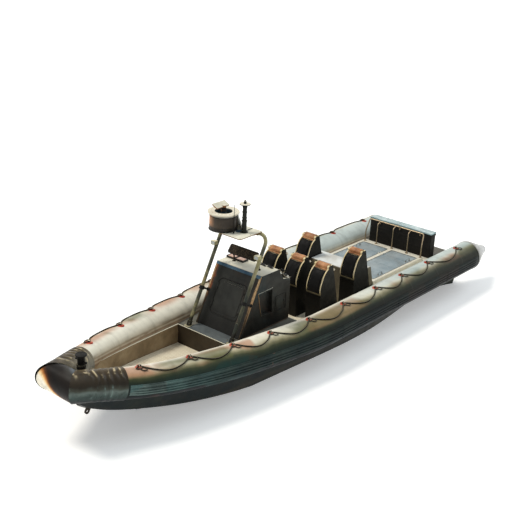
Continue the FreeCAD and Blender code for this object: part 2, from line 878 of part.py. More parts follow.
def build_lid():
    """The port engine hatch with its two lift handles."""
    plate = round_box(LID_REAR_X + SWING, LID_FRONT_X - SWING,
                      RIB_WIDTH / 2 + SWING, AFT_FRAME_HALF - FRAME_SIDE - SWING,
                      AFT_DECK_Z - LID_THICK, AFT_DECK_Z, LID_ROUND - SWING, 0, 0, 1)
    pieces = [plate] + lid_hinges()[0].Solids
    for x in LID_HANDLE_XS:
        top = AFT_DECK_Z + LID_HANDLE_HEIGHT
        low = AFT_DECK_Z - LID_THICK / 2
        points = [(x - LID_HANDLE_HALF, LID_HANDLE_Y, low), (x - LID_HANDLE_HALF, LID_HANDLE_Y, top),
                  (x + LID_HANDLE_HALF, LID_HANDLE_Y, top), (x + LID_HANDLE_HALF, LID_HANDLE_Y, low)]
        pieces.append(bent_tube(points, LID_HANDLE_R, LID_HANDLE_R * 3))
    return joined(pieces)


def build_engines():
    """One plain block in each engine bay."""
    middle_x = (LID_REAR_X + LID_FRONT_X) / 2
    middle_y = (RIB_WIDTH / 2 + AFT_FRAME_HALF - FRAME_SIDE) / 2
    block = box(middle_x - ENGINE_LENGTH / 2, middle_x + ENGINE_LENGTH / 2, middle_y - ENGINE_WIDTH / 2,
                middle_y + ENGINE_WIDTH / 2, BAY_FLOOR_Z + FIT, BAY_FLOOR_Z + ENGINE_HEIGHT)
    return compound(both_sides(block))


def build_cones():
    """Blunt upswept cones on the after ends of the collar."""
    rings = []
    for share, radius in CONE_SHAPE:
        middle = V(CONE_X - FIT - CONE_LENGTH * share, TUBE_Y, TUBE_Z + CONE_RISE * share ** 1.6)
        rings.append(Part.Wire([Part.makeCircle(TUBE_R * radius, middle, V(-1, 0, 0))]))
    cone = Part.makeLoft(rings, True, False)
    lap = Part.makeCylinder(TUBE_R + CONE_SKIN, CONE_LAP * 2, V(CONE_X - CONE_LAP, TUBE_Y, TUBE_Z),
                            V(1, 0, 0))
    lap = lap.cut(Part.makeCylinder(TUBE_R + FIT, CONE_LAP * 2, V(CONE_X - FIT, TUBE_Y, TUBE_Z), V(1, 0, 0)))
    return compound(both_sides(joined([cone, lap])))


def skin_round_collar(thick):
    """A skin of one thickness over the port tube."""
    return collar_body(thick).cut(collar_body(FIT))


def build_sleeves(others):
    """Chafe sleeves over the forward ends of the side tubes."""
    y, z, r = collar(SLEEVE_X)
    block = Part.makeBox(3000, 3000, 3000, V(-1500, -1500, 0))
    turn = FreeCAD.Rotation(V(0, 0, 1), collar_heading(SLEEVE_X))
    block.Placement = FreeCAD.Placement(V(SLEEVE_X, y, z), turn)
    sleeve = skin_round_collar(SLEEVE_SKIN).common(block)
    sleeve = largest(cut_by(sleeve, others))
    return compound(both_sides(sleeve))


def strake_section(x):
    """The strake's section at x: a base with ribs, round the tube's outer side."""
    step = (STRAKE_HIGH - STRAKE_LOW) / (2 * STRAKE_RIBS + 1)
    outer = []
    for i in range(2 * STRAKE_RIBS + 1):
        out = STRAKE_BASE + (STRAKE_RIB if i % 2 == 1 else 0.0)
        lean = step * 0.18 if i % 2 == 1 else 0.0
        outer.append(collar_point(x, STRAKE_LOW + step * i + lean, out))
        outer.append(collar_point(x, STRAKE_LOW + step * (i + 1) - lean, out))
    inner_start = collar_point(x, STRAKE_LOW, FIT)
    inner_middle = collar_point(x, (STRAKE_LOW + STRAKE_HIGH) / 2, FIT)
    inner_end = collar_point(x, STRAKE_HIGH, FIT)
    edges = [Part.Arc(inner_end, inner_middle, inner_start).toShape()]
    corners = [inner_start] + outer + [inner_end]
    for a, b in zip(corners, corners[1:]):
        edges.append(Part.LineSegment(a, b).toShape())
    return Part.Wire(edges)


def build_strakes():
    """The ribbed rubbing strakes."""
    xs = [STRAKE_START_X] + [x for x in collar_xs() if x < STRAKE_END_X] + [STRAKE_END_X]
    return compound(both_sides(Part.makeLoft([strake_section(x) for x in xs], True, True)))


def line_patch(x, skin):
    """A round patch on top of the port tube with an eye for the grab line."""
    y, z, r = collar(x)
    heading = collar_heading(x) if x > BEND_X else V(1, 0, 0)
    middle = V(x, y, z)
    top = collar_point(x, 90.0, 0.0)
    patch = skin.common(Part.makeCylinder(PATCH_R, r, middle + (top - middle) * 0.5, top - middle))
    eye = Part.makeTorus(EYE_R, EYE_WIRE_R, top + V(0, 0, PATCH_THICK), heading)
    below = Part.makeCylinder(r + PATCH_THICK / 2, 4 * EYE_R, middle - heading * (2 * EYE_R), heading)
    return joined([largest(patch), eye.cut(below)])


def build_patches():
    """The patches and eyes along both sides."""
    skin = skin_round_collar(PATCH_THICK)
    return compound(both_sides(compound([line_patch(x, skin) for x in PATCH_XS])))


def knot(x):
    """Where the grab line is knotted in an eye."""
    return collar_point(x, 90.0, PATCH_THICK + KNOT_R + FIT)


def build_grab_lines():
    """The grab line along each side of the boat, knotted at every eye."""
    pieces = []
    for aft, fore in zip(PATCH_XS, PATCH_XS[1:]):
        bay = [collar_point(fore + (aft - fore) * share, 90.0 - droop, gap)
               for share, droop, gap in LINE_ROUTE]
        points = [knot(fore)] + bay + [knot(aft)]
        tube = bent_tube([tuple(point) for point in points], LINE_R, LINE_BEND)
        pieces.append(largest(cut_by(tube, [Part.makeSphere(KNOT_R + FIT, knot(x)) for x in (fore, aft)])))
    pieces += [Part.makeSphere(KNOT_R, knot(x)) for x in PATCH_XS]
    return compound(both_sides(compound(pieces)))


CONSOLE_OUTLINE = ((CON_FRONT_X, DECK_Z), (CON_TOP_FRONT_X, CON_TOP_Z), (CON_TOP_REAR_X, CON_TOP_Z),
                   (DASH_X, DASH_Z), (SHELF_X, SHELF_Z), (CON_REAR_X, DECK_Z))


def on_console_front(shape):
    """A shape made upright at the origin, facing +X, laid on the console's front face."""
    lean = math.degrees(math.atan2(CON_FRONT_X - CON_TOP_FRONT_X, CON_TOP_Z - DECK_Z))
    shape.Placement = FreeCAD.Placement(V(CON_FRONT_X, 0, DECK_Z), FreeCAD.Rotation(V(0, 1, 0), -lean))
    return shape


def front_length():
    return math.hypot(CON_FRONT_X - CON_TOP_FRONT_X, CON_TOP_Z - DECK_Z)


def hatch_block(margin, x0, x1):
    """The console hatch's opening, moved inwards by a margin, upright at the origin."""
    return round_box(x0, x1, -HATCH_HALF + margin, HATCH_HALF - margin,
                     HATCH_LOW * front_length() + margin, HATCH_HIGH * front_length() - margin,
                     HATCH_ROUND - margin, 1, 0, 0)


def hatch_hinges():
    """The console hatch's hinges on its starboard side, upright at the origin."""
    leaves = []
    fixed = []
    for share in (0.25, 0.75):
        up = front_length() * (HATCH_LOW + (HATCH_HIGH - HATCH_LOW) * share)
        middle = (HINGE_R, -HATCH_HALF + SWING / 2, up)
        leaf, root = hinge(middle, (0, 0, 1), (0, 1, 0), (1, 0, 0))
        leaves.append(leaf)
        fixed.append(root)
    return leaves, fixed


def build_console_hatch():
    """The hatch in the console's front, with a raised panel."""
    leaf = hatch_block(SWING, -CON_WALL, 0.0)
    panel = hatch_block(SWING + HATCH_RIM, -1.0, HATCH_PROUD)
    return on_console_front(joined([leaf, panel] + hatch_hinges()[0]))


def door_block(margin, y0, y1):
    """The port door's opening, moved inwards by a margin."""
    return round_box(DOOR_REAR_X + margin, DOOR_FRONT_X - margin, y0, y1,
                     DOOR_LOW_Z + margin, DOOR_HIGH_Z - margin, DOOR_ROUND - margin, 0, 1, 0)


def door_hinge():
    """The port door's hinge at its forward edge."""
    middle = (DOOR_FRONT_X - SWING / 2, CON_HALF + HINGE_R, (DOOR_LOW_Z + DOOR_HIGH_Z) / 2)
    return hinge(middle, (0, 0, 1), (-1, 0, 0), (0, 1, 0))


def build_console_door():
    """The small door in the console's port side."""
    return joined([door_block(SWING, CON_HALF - CON_WALL, CON_HALF), door_hinge()[0]])


def build_console():
    """The hollow steering console with its openings, side recesses and the helm's bearing."""
    shell = side_plate(CONSOLE_OUTLINE, -CON_HALF, CON_HALF)

    def side_edge(edge):
        ends = [vertex.Point for vertex in edge.Vertexes]
        flush = all(abs(abs(p.y) - CON_HALF) < 0.01 for p in ends)
        return flush and not all(abs(p.z - DECK_Z) < 0.01 for p in ends)

    shell = rounded(shell, CON_ROUND, side_edge)
    walls = [CON_WALL] * (len(CONSOLE_OUTLINE) - 1) + [-CON_WALL]
    inside = side_plate(inset(CONSOLE_OUTLINE, walls), -CON_HALF + CON_WALL, CON_HALF - CON_WALL)
    shell = shell.cut(inside)
    count = len(RECESS)
    pan = side_plate(inset(RECESS, [-RECESS_FRAME / 2] * count), CON_HALF - RECESS_DEPTH - CON_WALL / 2,
                     CON_HALF - CON_WALL / 2)
    border = inset(RECESS, [-RECESS_FRAME] * count)
    rim = side_plate(border, CON_HALF - CON_WALL / 2, CON_HALF + RECESS_PROUD)
    hole = side_plate(RECESS, CON_HALF - RECESS_DEPTH, CON_HALF + 2 * RECESS_PROUD)
    shell = shell.multiFuse(both_sides(pan) + both_sides(rim))
    shell = cut_by(shell, both_sides(hole))
    shell = shell.cut(on_console_front(hatch_block(0.0, -2 * CON_WALL, CON_WALL)))
    shell = cut_by(shell, both_sides(door_block(0.0, CON_HALF - 2 * CON_WALL, CON_HALF + CON_WALL)))
    extras = [on_console_front(root) for root in hatch_hinges()[1]]
    extras += both_sides(door_hinge()[1])
    extras.append(rod(helm_point(-CON_WALL), helm_point(HELM_BOSS), HELM_BOSS_R))
    shell = joined([shell] + extras)
    return shell.cut(rod(helm_point(-2 * CON_WALL), helm_point(HELM_BOSS + 1), HELM_SHAFT_R + PIN_GAP))


def helm_point(reach):
    """A point on the helm's axis, by its reach from the console's rear face."""
    tilt = math.radians(HELM_TILT)
    return (CON_REAR_X - reach * math.cos(tilt), 0.0, HELM_Z + reach * math.sin(tilt))


def build_steering_wheel():
    """A three-spoked wheel on its shaft."""
    hub = V(*helm_point(HELM_REACH))
    axis = (hub - V(*helm_point(0))).normalize()
    across = V(0, 1, 0)
    upward = axis.cross(across)
    pieces = [Part.makeTorus(HELM_R, HELM_RIM_R, hub, axis),
              rod(helm_point(HELM_BOSS + 2), helm_point(HELM_REACH + 16), HELM_HUB_R)]
    for turn in (90, 210, 330):
        a = math.radians(turn)
        tip = hub + (across * math.cos(a) + upward * math.sin(a)) * HELM_R
        pieces.append(rod(hub, tip, HELM_RIM_R * 0.7))
    shaft = rod(helm_point(-CON_WALL / 2), helm_point(HELM_REACH), HELM_SHAFT_R)
    return joined(pieces + [shaft])


def build_dash():
    """The instrument panel on the dash slope, with two sunken blank screens."""
    foot = V(DASH_X, 0, DASH_Z)
    head = V(CON_TOP_REAR_X, 0, CON_TOP_Z)
    up = head - foot
    length = up.Length
    lean = math.degrees(math.atan2(up.x, up.z))
    half = CON_HALF - 2 * CON_ROUND
    panel = round_box(-12.0, -FIT, -half, half, 26.0, length - 26.0, 12.0, 1, 0, 0)
    for y in (-half / 2, half / 2):
        panel = panel.cut(box(-13.0, -8.0, y - half * 0.36, y + half * 0.36, 54.0, length - 54.0))
    panel.Placement = FreeCAD.Placement(foot, FreeCAD.Rotation(V(0, 1, 0), lean))
    return panel


def build_displays():
    """Low display housings on the console's top."""
    pieces = []
    for x, y in DISPLAYS:
        pieces.append(round_box(x, x + DISPLAY_LENGTH, y, y + DISPLAY_WIDTH, CON_TOP_Z + FIT,
                                CON_TOP_Z + DISPLAY_HEIGHT, 12.0, 0, 0, 1))
    return compound(pieces)


def build_throttles():
    """The twin-lever engine control on the dash shelf."""
    slope = (DASH_Z - SHELF_Z) / (DASH_X - SHELF_X)
    base_z = SHELF_Z + slope * (THROTTLE_X - SHELF_X)
    half = THROTTLE_LENGTH / 2
    rise = half * slope
    top = half * THROTTLE_TAPER
    outline = [(THROTTLE_X - half, base_z - rise + FIT), (THROTTLE_X + half, base_z + rise + FIT),
               (THROTTLE_X + top, base_z + THROTTLE_HEIGHT), (THROTTLE_X - top, base_z + THROTTLE_HEIGHT)]
    pieces = [side_plate(outline, THROTTLE_Y - THROTTLE_WIDTH / 2, THROTTLE_Y + THROTTLE_WIDTH / 2)]
    for side in (-1, 1):
        y = THROTTLE_Y + side * THROTTLE_WIDTH * 0.3
        root = (THROTTLE_X, y, base_z + THROTTLE_HEIGHT * 0.6)
        tip = (THROTTLE_X + 30, y, base_z + THROTTLE_HEIGHT + LEVER_REACH * 0.7)
        pieces.append(rod(root, tip, 6.0))
        pieces.append(rod((tip[0], y - side * 14, tip[2]), (tip[0], y + side * 14, tip[2]), 12.0))
    return joined(pieces)


def build_step():
    """The grey step in front of the console."""
    return round_box(CON_FRONT_X + 4 * FIT, STEP_FRONT_X, -STEP_HALF, STEP_HALF,
                     DECK_Z + FIT, DECK_Z + STEP_THICK, 20.0, 0, 0, 1)


def build_deflector():
    """The raked wind deflector and its two posts."""
    low = V(DEFLECTOR_LOW[0], 0, DEFLECTOR_LOW[1])
    high = V(DEFLECTOR_HIGH[0], 0, DEFLECTOR_HIGH[1])
    up = high - low
    lean = math.degrees(math.atan2(up.x, up.z))
    panel = round_box(-DEFLECTOR_THICK / 2, DEFLECTOR_THICK / 2, -DEFLECTOR_HALF, DEFLECTOR_HALF,
                      0, up.Length, 30.0, 1, 0, 0)
    panel.Placement = FreeCAD.Placement(low, FreeCAD.Rotation(V(0, 1, 0), lean))
    middle = (low + high) * 0.5
    posts = []
    for side in (-1, 1):
        y = side * DEFLECTOR_POST_Y
        foot = (DEFLECTOR_FOOT_X, y, CON_TOP_Z + FIT)
        knee = (DEFLECTOR_FOOT_X, y, (CON_TOP_Z + low.z) / 2)
        posts.append(bent_tube([foot, knee, (middle.x, y, middle.z)], DEFLECTOR_POST_R, 60.0))
        posts.append(Part.makeCylinder(DEFLECTOR_POST_R * 2.4, 8.0, V(*foot)))
    return joined([panel] + posts)


def arch_x(z):
    return ARCH_FOOT_X - ARCH_SLOPE * (z - ARCH_FOOT_Z)


def build_arch():
    """The bent tube arch with the brackets on its feet."""
    foot_z = DECK_Z + FIT
    low_z = foot_z + ARCH_FOOT_THICK / 2
    points = [(arch_x(low_z), -ARCH_HALF, low_z), (arch_x(ARCH_TOP_Z), -ARCH_HALF, ARCH_TOP_Z),
              (arch_x(ARCH_TOP_Z), ARCH_HALF, ARCH_TOP_Z), (arch_x(low_z), ARCH_HALF, low_z)]
    pieces = [bent_tube(points, ARCH_R, ARCH_BEND)]
    for side in (-1, 1):
        y = side * ARCH_HALF
        pieces.append(round_box(arch_x(foot_z) - ARCH_FOOT_LENGTH / 2, arch_x(foot_z) + ARCH_FOOT_LENGTH / 2,
                                y - ARCH_FOOT_WIDTH / 2, y + ARCH_FOOT_WIDTH / 2, foot_z,
                                foot_z + ARCH_FOOT_THICK, 24.0, 0, 0, 1))
        pieces.append(rod((arch_x(low_z), y, low_z), (arch_x(foot_z + ARCH_SOCKET), y, foot_z + ARCH_SOCKET),
                          ARCH_SOCKET_R))
    arch = joined(pieces)
    return arch.cut(box(arch_x(foot_z) - 200, arch_x(foot_z) + 200, -CON_HALF * 2, CON_HALF * 2,
                        foot_z - 100, foot_z))


def build_arch_clamps():
    """The two stays that tie the arch's legs to the console's front face."""
    lean = V(-ARCH_SLOPE, 0, 1).normalize()
    out = V(1, 0, ARCH_SLOPE).normalize()
    pieces = []
    for side in (-1, 1):
        y = side * ARCH_HALF
        leg = V(arch_x(CLAMP_Z), y, CLAMP_Z)
        ring = rod(leg - lean * (CLAMP_WIDTH / 2), leg + lean * (CLAMP_WIDTH / 2), CLAMP_R)
        reach = console_gap()
        root = leg - out * (reach - FIT)
        bar = rod(root, leg, CLAMP_BAR_R)
        pad = rod(root, root + out * 10, CLAMP_BAR_R * 1.9)
        piece = joined([ring, bar, pad])
        pieces.append(piece.cut(rod(leg - lean * CLAMP_WIDTH, leg + lean * CLAMP_WIDTH, ARCH_R + FIT)))
    return compound(pieces)


def console_gap():
    """Distance from the arch's leg to the console's front face, square to the leg."""
    out = V(1, 0, ARCH_SLOPE).normalize()
    leg = V(arch_x(CLAMP_Z), 0, CLAMP_Z)
    foot = V(CON_FRONT_X, 0, DECK_Z)
    face = V(CON_TOP_FRONT_X, 0, CON_TOP_Z) - foot
    normal = V(face.z, 0, -face.x).normalize()
    return (leg - foot).dot(normal) / out.dot(normal)


def build_plate():
    """The instrument plate with its saddles round the crossbar and two ribs."""
    low = PLATE_Z - PLATE_THICK
    plate = round_box(PLATE_REAR_X, PLATE_FRONT_X, -PLATE_HALF, PLATE_HALF, low, PLATE_Z,
                      PLATE_ROUND, 0, 0, 1)
    bar_x = arch_x(ARCH_TOP_Z)
    pieces = [plate]
    for side in (-1, 1):
        y = side * PLATE_RIB_Y
        front = bar_x + ARCH_R
        rib = [(front, low + 1), (PLATE_FRONT_X - 50, low + 1), (PLATE_FRONT_X - 50, low - 14),
               (front + 30, ARCH_TOP_Z - ARCH_R), (bar_x, ARCH_TOP_Z - ARCH_R)]
        pieces.append(side_plate(rib, y - 5, y + 5))
        pieces.append(rod((bar_x, y - 25, ARCH_TOP_Z), (bar_x, y + 25, ARCH_TOP_Z), ARCH_R + 12))
    plate = joined(pieces)
    bar = rod((bar_x, -ARCH_HALF, ARCH_TOP_Z), (bar_x, ARCH_HALF, ARCH_TOP_Z), ARCH_R + FIT)
    over = box(PLATE_REAR_X, PLATE_FRONT_X, -PLATE_HALF, PLATE_HALF, PLATE_Z, PLATE_Z + 100)
    return plate.cut(bar).cut(over)


def lamp_back():
    """Where a floodlight's housing begins, ahead of the arch's leg."""
    return arch_x(LAMP_Z) + ARCH_R * 1.25 + FIT


def lamp_block(x0, x1, y, wall):
    """A floodlight's box between two stations, thinner by its wall all round."""
    half_y = LAMP_WIDTH / 2 - wall
    half_z = LAMP_HEIGHT / 2 - wall
    return round_box(x0, x1, y - half_y, y + half_y, LAMP_Z - half_z, LAMP_Z + half_z,
                     LAMP_ROUND - wall / 2, 1, 0, 0)


def build_lamps():
    """Floodlight housings on the forward face of the arch's legs."""
    pieces = []
    front = lamp_back() + LAMP_LENGTH
    for side in (-1, 1):
        y = side * ARCH_HALF
        body = lamp_block(lamp_back() + 16, front, y, 0.0)
        body = body.cut(lamp_block(front - LAMP_BEZEL, front + 1, y, LAMP_WALL))
        stem = rod((lamp_back() - 20, y, LAMP_Z), (lamp_back() + 20, y, LAMP_Z), 14.0)
        low = (arch_x(LAMP_Z - 100), y, LAMP_Z - 100)
        high = (arch_x(LAMP_Z + 100), y, LAMP_Z + 100)
        leg = rod(low, high, ARCH_R + FIT)
        pieces.append(joined([body, stem]).cut(leg))
    return compound(pieces)


def build_lenses():
    """The floodlights' glasses."""
    seat = lamp_back() + LAMP_LENGTH - LAMP_BEZEL + FIT
    return compound([lamp_block(seat, seat + LENS_THICK, side * ARCH_HALF, LAMP_WALL + FIT)
                     for side in (-1, 1)])


def build_drum():
    """The scanner's open drum with its rim and the hub in its middle."""
    base = V(DRUM_X, DRUM_Y, PLATE_Z + FIT)
    up = V(0, 0, 1)
    body = Part.makeCylinder(DRUM_R, DRUM_HEIGHT, base)
    rim = Part.makeCylinder(DRUM_RIM_R, DRUM_RIM, base + up * (DRUM_HEIGHT - DRUM_RIM))
    flare_z = DRUM_HEIGHT - DRUM_RIM * 2.4
    flange = Part.makeCone(DRUM_R, DRUM_RIM_R, DRUM_RIM_R - DRUM_R, base + up * flare_z)
    bore = Part.makeCylinder(DRUM_BORE_R, DRUM_HEIGHT, base + up * DRUM_FLOOR)
    hub = Part.makeCylinder(HUB_R, HUB_HEIGHT - DRUM_FLOOR + 1, base + up * (DRUM_FLOOR - 1))
    turn = FreeCAD.Rotation(up, SKIRT_START)
    skirt = Part.makeCone(SKIRT_FOOT_R, SKIRT_TOP_R, SKIRT_HEIGHT, V(0, 0, 0), up, SKIRT_SWEEP)
    skirt = skirt.cut(Part.makeCone(SKIRT_FOOT_R - SKIRT_THICK, SKIRT_TOP_R - SKIRT_THICK, SKIRT_HEIGHT))
    skirt.Placement = FreeCAD.Placement(base, turn)
    drum = joined([joined([body, flange, rim, skirt]).cut(bore), hub])
    socket = Part.makeCylinder(SPINDLE_R + PIN_GAP, SPINDLE_DEPTH + 1,
                               base + up * (HUB_HEIGHT - SPINDLE_DEPTH))
    return drum.cut(socket)


def build_scanner_head():
    """The tilted flat head on its arm, which turns on the hub."""
    foot = PLATE_Z + FIT + HUB_HEIGHT
    low = foot + 2
    spindle = Part.makeCylinder(SPINDLE_R, low + 1 - (foot - SPINDLE_DEPTH + 2),
                                V(DRUM_X, DRUM_Y, foot - SPINDLE_DEPTH + 2))
    neck = Part.makeCylinder(HUB_R - 4, HEAD_Z - low, V(DRUM_X, DRUM_Y, low))
    head = round_box(-HEAD_LENGTH / 2, HEAD_LENGTH / 2, -HEAD_WIDTH / 2, HEAD_WIDTH / 2,
                     -HEAD_THICK / 2, HEAD_THICK / 2, 14.0, 0, 0, 1)
    middle = V(DRUM_X + HEAD_SHIFT_X, DRUM_Y + HEAD_SHIFT_Y, HEAD_Z)
    head.Placement = FreeCAD.Placement(middle, FreeCAD.Rotation(V(1, 0, 0), -HEAD_TILT))
    return joined([spindle, neck, head])


def build_mast():
    """The sensor mast, stepped at a ring, with its disc and knob."""
    foot = PLATE_Z + FIT
    levels = ((MAST_R * 1.4, foot, foot + 12.0),
              (MAST_R, foot, MAST_STEP_Z),
              (MAST_RING_R, MAST_STEP_Z, MAST_STEP_Z + MAST_RING),
              (MAST_TOP_R, MAST_STEP_Z, MAST_TOP_Z),
              (MAST_DISC_R, MAST_TOP_Z, MAST_TOP_Z + MAST_DISC),
              (MAST_KNOB_R, MAST_TOP_Z, MAST_TOP_Z + MAST_DISC + MAST_KNOB),
              (MAST_TIP_R, MAST_TOP_Z, MAST_TOP_Z + MAST_DISC + MAST_KNOB + MAST_TIP))
    return joined([Part.makeCylinder(r, high - low, V(MAST_X, MAST_Y, low)) for r, low, high in levels])


def build_whip():
    """A thin whip aerial on the plate's front edge."""
    base = V(WHIP_X, WHIP_Y, PLATE_Z + FIT)
    return joined([Part.makeCylinder(WHIP_R * 3, 40.0, base), Part.makeCylinder(WHIP_R, WHIP_HEIGHT, base)])


def saddle_curve(shift):
    """The front of the saddle, moved forward by a shift."""
    curve = Part.BSplineCurve()
    curve.interpolate([V(x + shift, 0, z) for x, z in SADDLE])
    return curve.toShape()


def line(a, b):
    return Part.LineSegment(V(*a), V(*b)).toShape()


def saddle_pad(front_shift, back_shift, half):
    """A slice of the saddle's front between two shifts."""
    high_x, high_z = SADDLE[0]
    low_x, low_z = SADDLE[-1]
    edges = [saddle_curve(front_shift),
             line((low_x + front_shift, 0, low_z), (low_x + back_shift, 0, low_z)),
             saddle_curve(back_shift),
             line((high_x + back_shift, 0, high_z), (high_x + front_shift, 0, high_z))]
    face = Part.Face(Part.Wire(Part.__sortEdges__(edges)))
    face.translate(V(0, -half, 0))
    return face.extrude(V(0, 2 * half, 0))


def seat_rear(z):
    return -SEAT_BACK - SEAT_RAKE * (SEAT_TOP_Z - z)


def build_seat_pod():
    """One jockey seat's body at the origin: side rails, top roll and foot."""
    foot_z = SOLE_Z + SOLE_PLATE + FIT
    high_x, high_z = SADDLE[0]
    low_x, low_z = SADDLE[-1]
    edges = [line((seat_rear(foot_z), 0, foot_z), (seat_rear(SEAT_TOP_Z), 0, SEAT_TOP_Z)),
             line((seat_rear(SEAT_TOP_Z), 0, SEAT_TOP_Z), (0, 0, SEAT_TOP_Z)),
             line((0, 0, SEAT_TOP_Z), (high_x, 0, high_z)),
             saddle_curve(0.0),
             line((low_x, 0, low_z), (SEAT_FOOT, 0, foot_z)),
             line((SEAT_FOOT, 0, foot_z), (seat_rear(foot_z), 0, foot_z))]
    face = Part.Face(Part.Wire(Part.__sortEdges__(edges)))
    face.translate(V(0, -SEAT_HALF, 0))
    pod = face.extrude(V(0, 2 * SEAT_HALF, 0))
    pod = rounded(pod, 30.0, lambda edge: runs_along(0, 1, 0)(edge) and edge.CenterOfMass.z > SEAT_TOP_Z - 1)
    pocket = saddle_pad(200.0, -PAD_DEPTH + PAD_PROUD - FIT, SEAT_HALF - SEAT_RAIL)
    pod = pod.cut(pocket)
    ledge = box(low_x - 40, low_x + SEAT_LEDGE, -SEAT_HALF, SEAT_HALF, SEAT_LEDGE_Z - 14, SEAT_LEDGE_Z)
    return joined([pod, ledge])


def build_seat_pad():
    """One seat's pad at the origin."""
    return saddle_pad(PAD_PROUD, -PAD_DEPTH + PAD_PROUD, SEAT_HALF - SEAT_RAIL - FIT)


def build_handles():
    """The grab handle behind each forward seat."""
    pieces = []
    for x, y in SEATS:
        if x > SEATS[-1][0]:
            face = x + seat_rear(HANDLE_Z)
            back = face - HANDLE_REACH
            points = [(face - FIT, y - HANDLE_HALF, HANDLE_Z), (back, y - HANDLE_HALF, HANDLE_Z),
                      (back, y + HANDLE_HALF, HANDLE_Z), (face - FIT, y + HANDLE_HALF, HANDLE_Z)]
            hoop = bent_tube(points, HANDLE_R, HANDLE_BEND)
            body = side_plate([(x, HANDLE_Z - 100), (x, HANDLE_Z + 100),
                               (x + seat_rear(HANDLE_Z + 100) - FIT, HANDLE_Z + 100),
                               (x + seat_rear(HANDLE_Z - 100) - FIT, HANDLE_Z - 100)],
                              y - SEAT_HALF, y + SEAT_HALF)
            stubs = [rod((face + 20, y + side * HANDLE_HALF, HANDLE_Z),
                         (face - 20, y + side * HANDLE_HALF, HANDLE_Z), HANDLE_R * 1.6) for side in (-1, 1)]
            pieces.append(joined([hoop] + stubs).cut(body))
    return compound(pieces)


def build_casing():
    """The T shaped engine casing between and behind the after seats."""
    foot_z = SOLE_Z + SOLE_PLATE + FIT
    seat_x = SEATS[-1][0]
    nose = side_plate([(CASING_FRONT_X, foot_z), (CASING_FRONT_X, CASING_TOP_Z),
                       (CASING_REAR_X, CASING_TOP_Z),
                       (casing_rear(DECK_Z + FIT), DECK_Z + FIT), (COCKPIT_REAR_X + FIT, DECK_Z + FIT),
                       (COCKPIT_REAR_X + FIT, foot_z)], -CASING_NOSE_HALF, CASING_NOSE_HALF)
    gap = 2 * SWING
    wings = side_plate([(seat_x + seat_rear(CASING_TOP_Z) - gap, CASING_TOP_Z),
                        (CASING_REAR_X, CASING_TOP_Z),
                        (casing_rear(DECK_Z + FIT), DECK_Z + FIT),
                        (seat_x + seat_rear(DECK_Z + FIT) - gap, DECK_Z + FIT)], -CASING_HALF, CASING_HALF)
    casing = joined([nose, wings])

    def top_edge(edge):
        return edge.CenterOfMass.z > CASING_TOP_Z - 1

    return rounded(casing, CASING_ROUND, top_edge)


def build_guard_rail():
    """The guard rail with its kinked end posts and three middle posts."""
    foot = AFT_DECK_Z + FIT
    points = []
    for side in (-1, 1):
        leg = [(RAIL_FOOT_X, side * RAIL_FOOT_HALF, foot), (RAIL_FOOT_X, side * RAIL_FOOT_HALF, RAIL_KINK_Z),
               (RAIL_X, side * RAIL_HALF, RAIL_Z)]
        points += leg if side < 0 else leg[::-1]
    pieces = [bent_tube(points, RAIL_R, RAIL_BEND)]
    for y in RAIL_POST_YS:
        post = [(RAIL_FOOT_X, y, foot), (RAIL_FOOT_X, y, RAIL_Z - RAIL_BEND), (RAIL_X, y, RAIL_Z)]
        pieces.append(bent_tube(post, RAIL_POST_R, RAIL_BEND / 2))
    for y in (-RAIL_FOOT_HALF, *RAIL_POST_YS, RAIL_FOOT_HALF):
        pieces.append(Part.makeCylinder(RAIL_FOOT_R, RAIL_FOOT_THICK, V(RAIL_FOOT_X, y, foot)))
    return joined(pieces)


def build_locker():
    """The stern locker across the after deck."""
    return round_box(LOCKER_X - LOCKER_DEPTH, LOCKER_X, -LOCKER_HALF, LOCKER_HALF, DECK_Z + FIT,
                     LOCKER_TOP_Z - LOCKER_LID, 16.0, 0, 0, 1)


def build_locker_top():
    """The locker's ribbed top."""
    lid = round_box(LOCKER_X - LOCKER_DEPTH - LOCKER_LAP, LOCKER_X + LOCKER_LAP, -LOCKER_HALF - LOCKER_LAP,
                    LOCKER_HALF + LOCKER_LAP, LOCKER_TOP_Z - LOCKER_LID + FIT, LOCKER_TOP_Z - 4,
                    20.0, 0, 0, 1)
    ribs = []
    count = 5
    pitch = LOCKER_DEPTH / count
    for i in range(count):
        x = LOCKER_X - LOCKER_DEPTH + pitch * (i + 0.5)
        ribs.append(box(x - pitch * 0.3, x + pitch * 0.3, -LOCKER_HALF + 20, LOCKER_HALF - 20,
                        LOCKER_TOP_Z - 6, LOCKER_TOP_Z))
    return joined([lid] + ribs)


def build_bollard(deck):
    """The bow bollard with its cap and cross pin."""
    deck_z = ridge(BOLLARD_X)[1]
    post = Part.makeCylinder(BOLLARD_R, BOLLARD_TOP_Z - deck_z, V(BOLLARD_X, 0, deck_z))
    cap = Part.makeCylinder(BOLLARD_CAP_R, BOLLARD_CAP, V(BOLLARD_X, 0, BOLLARD_TOP_Z - BOLLARD_CAP))
    pin = rod((BOLLARD_X, -BOLLARD_PIN_HALF, BOLLARD_PIN_Z), (BOLLARD_X, BOLLARD_PIN_HALF, BOLLARD_PIN_Z),
              BOLLARD_PIN_R)
    half = BOLLARD_BASE / 2
    base = box(BOLLARD_X - half, BOLLARD_X + half, -half, half, deck_z - 20, deck_z + BOLLARD_BASE_THICK)
    return joined([post, cap, pin, base]).cut(deck)


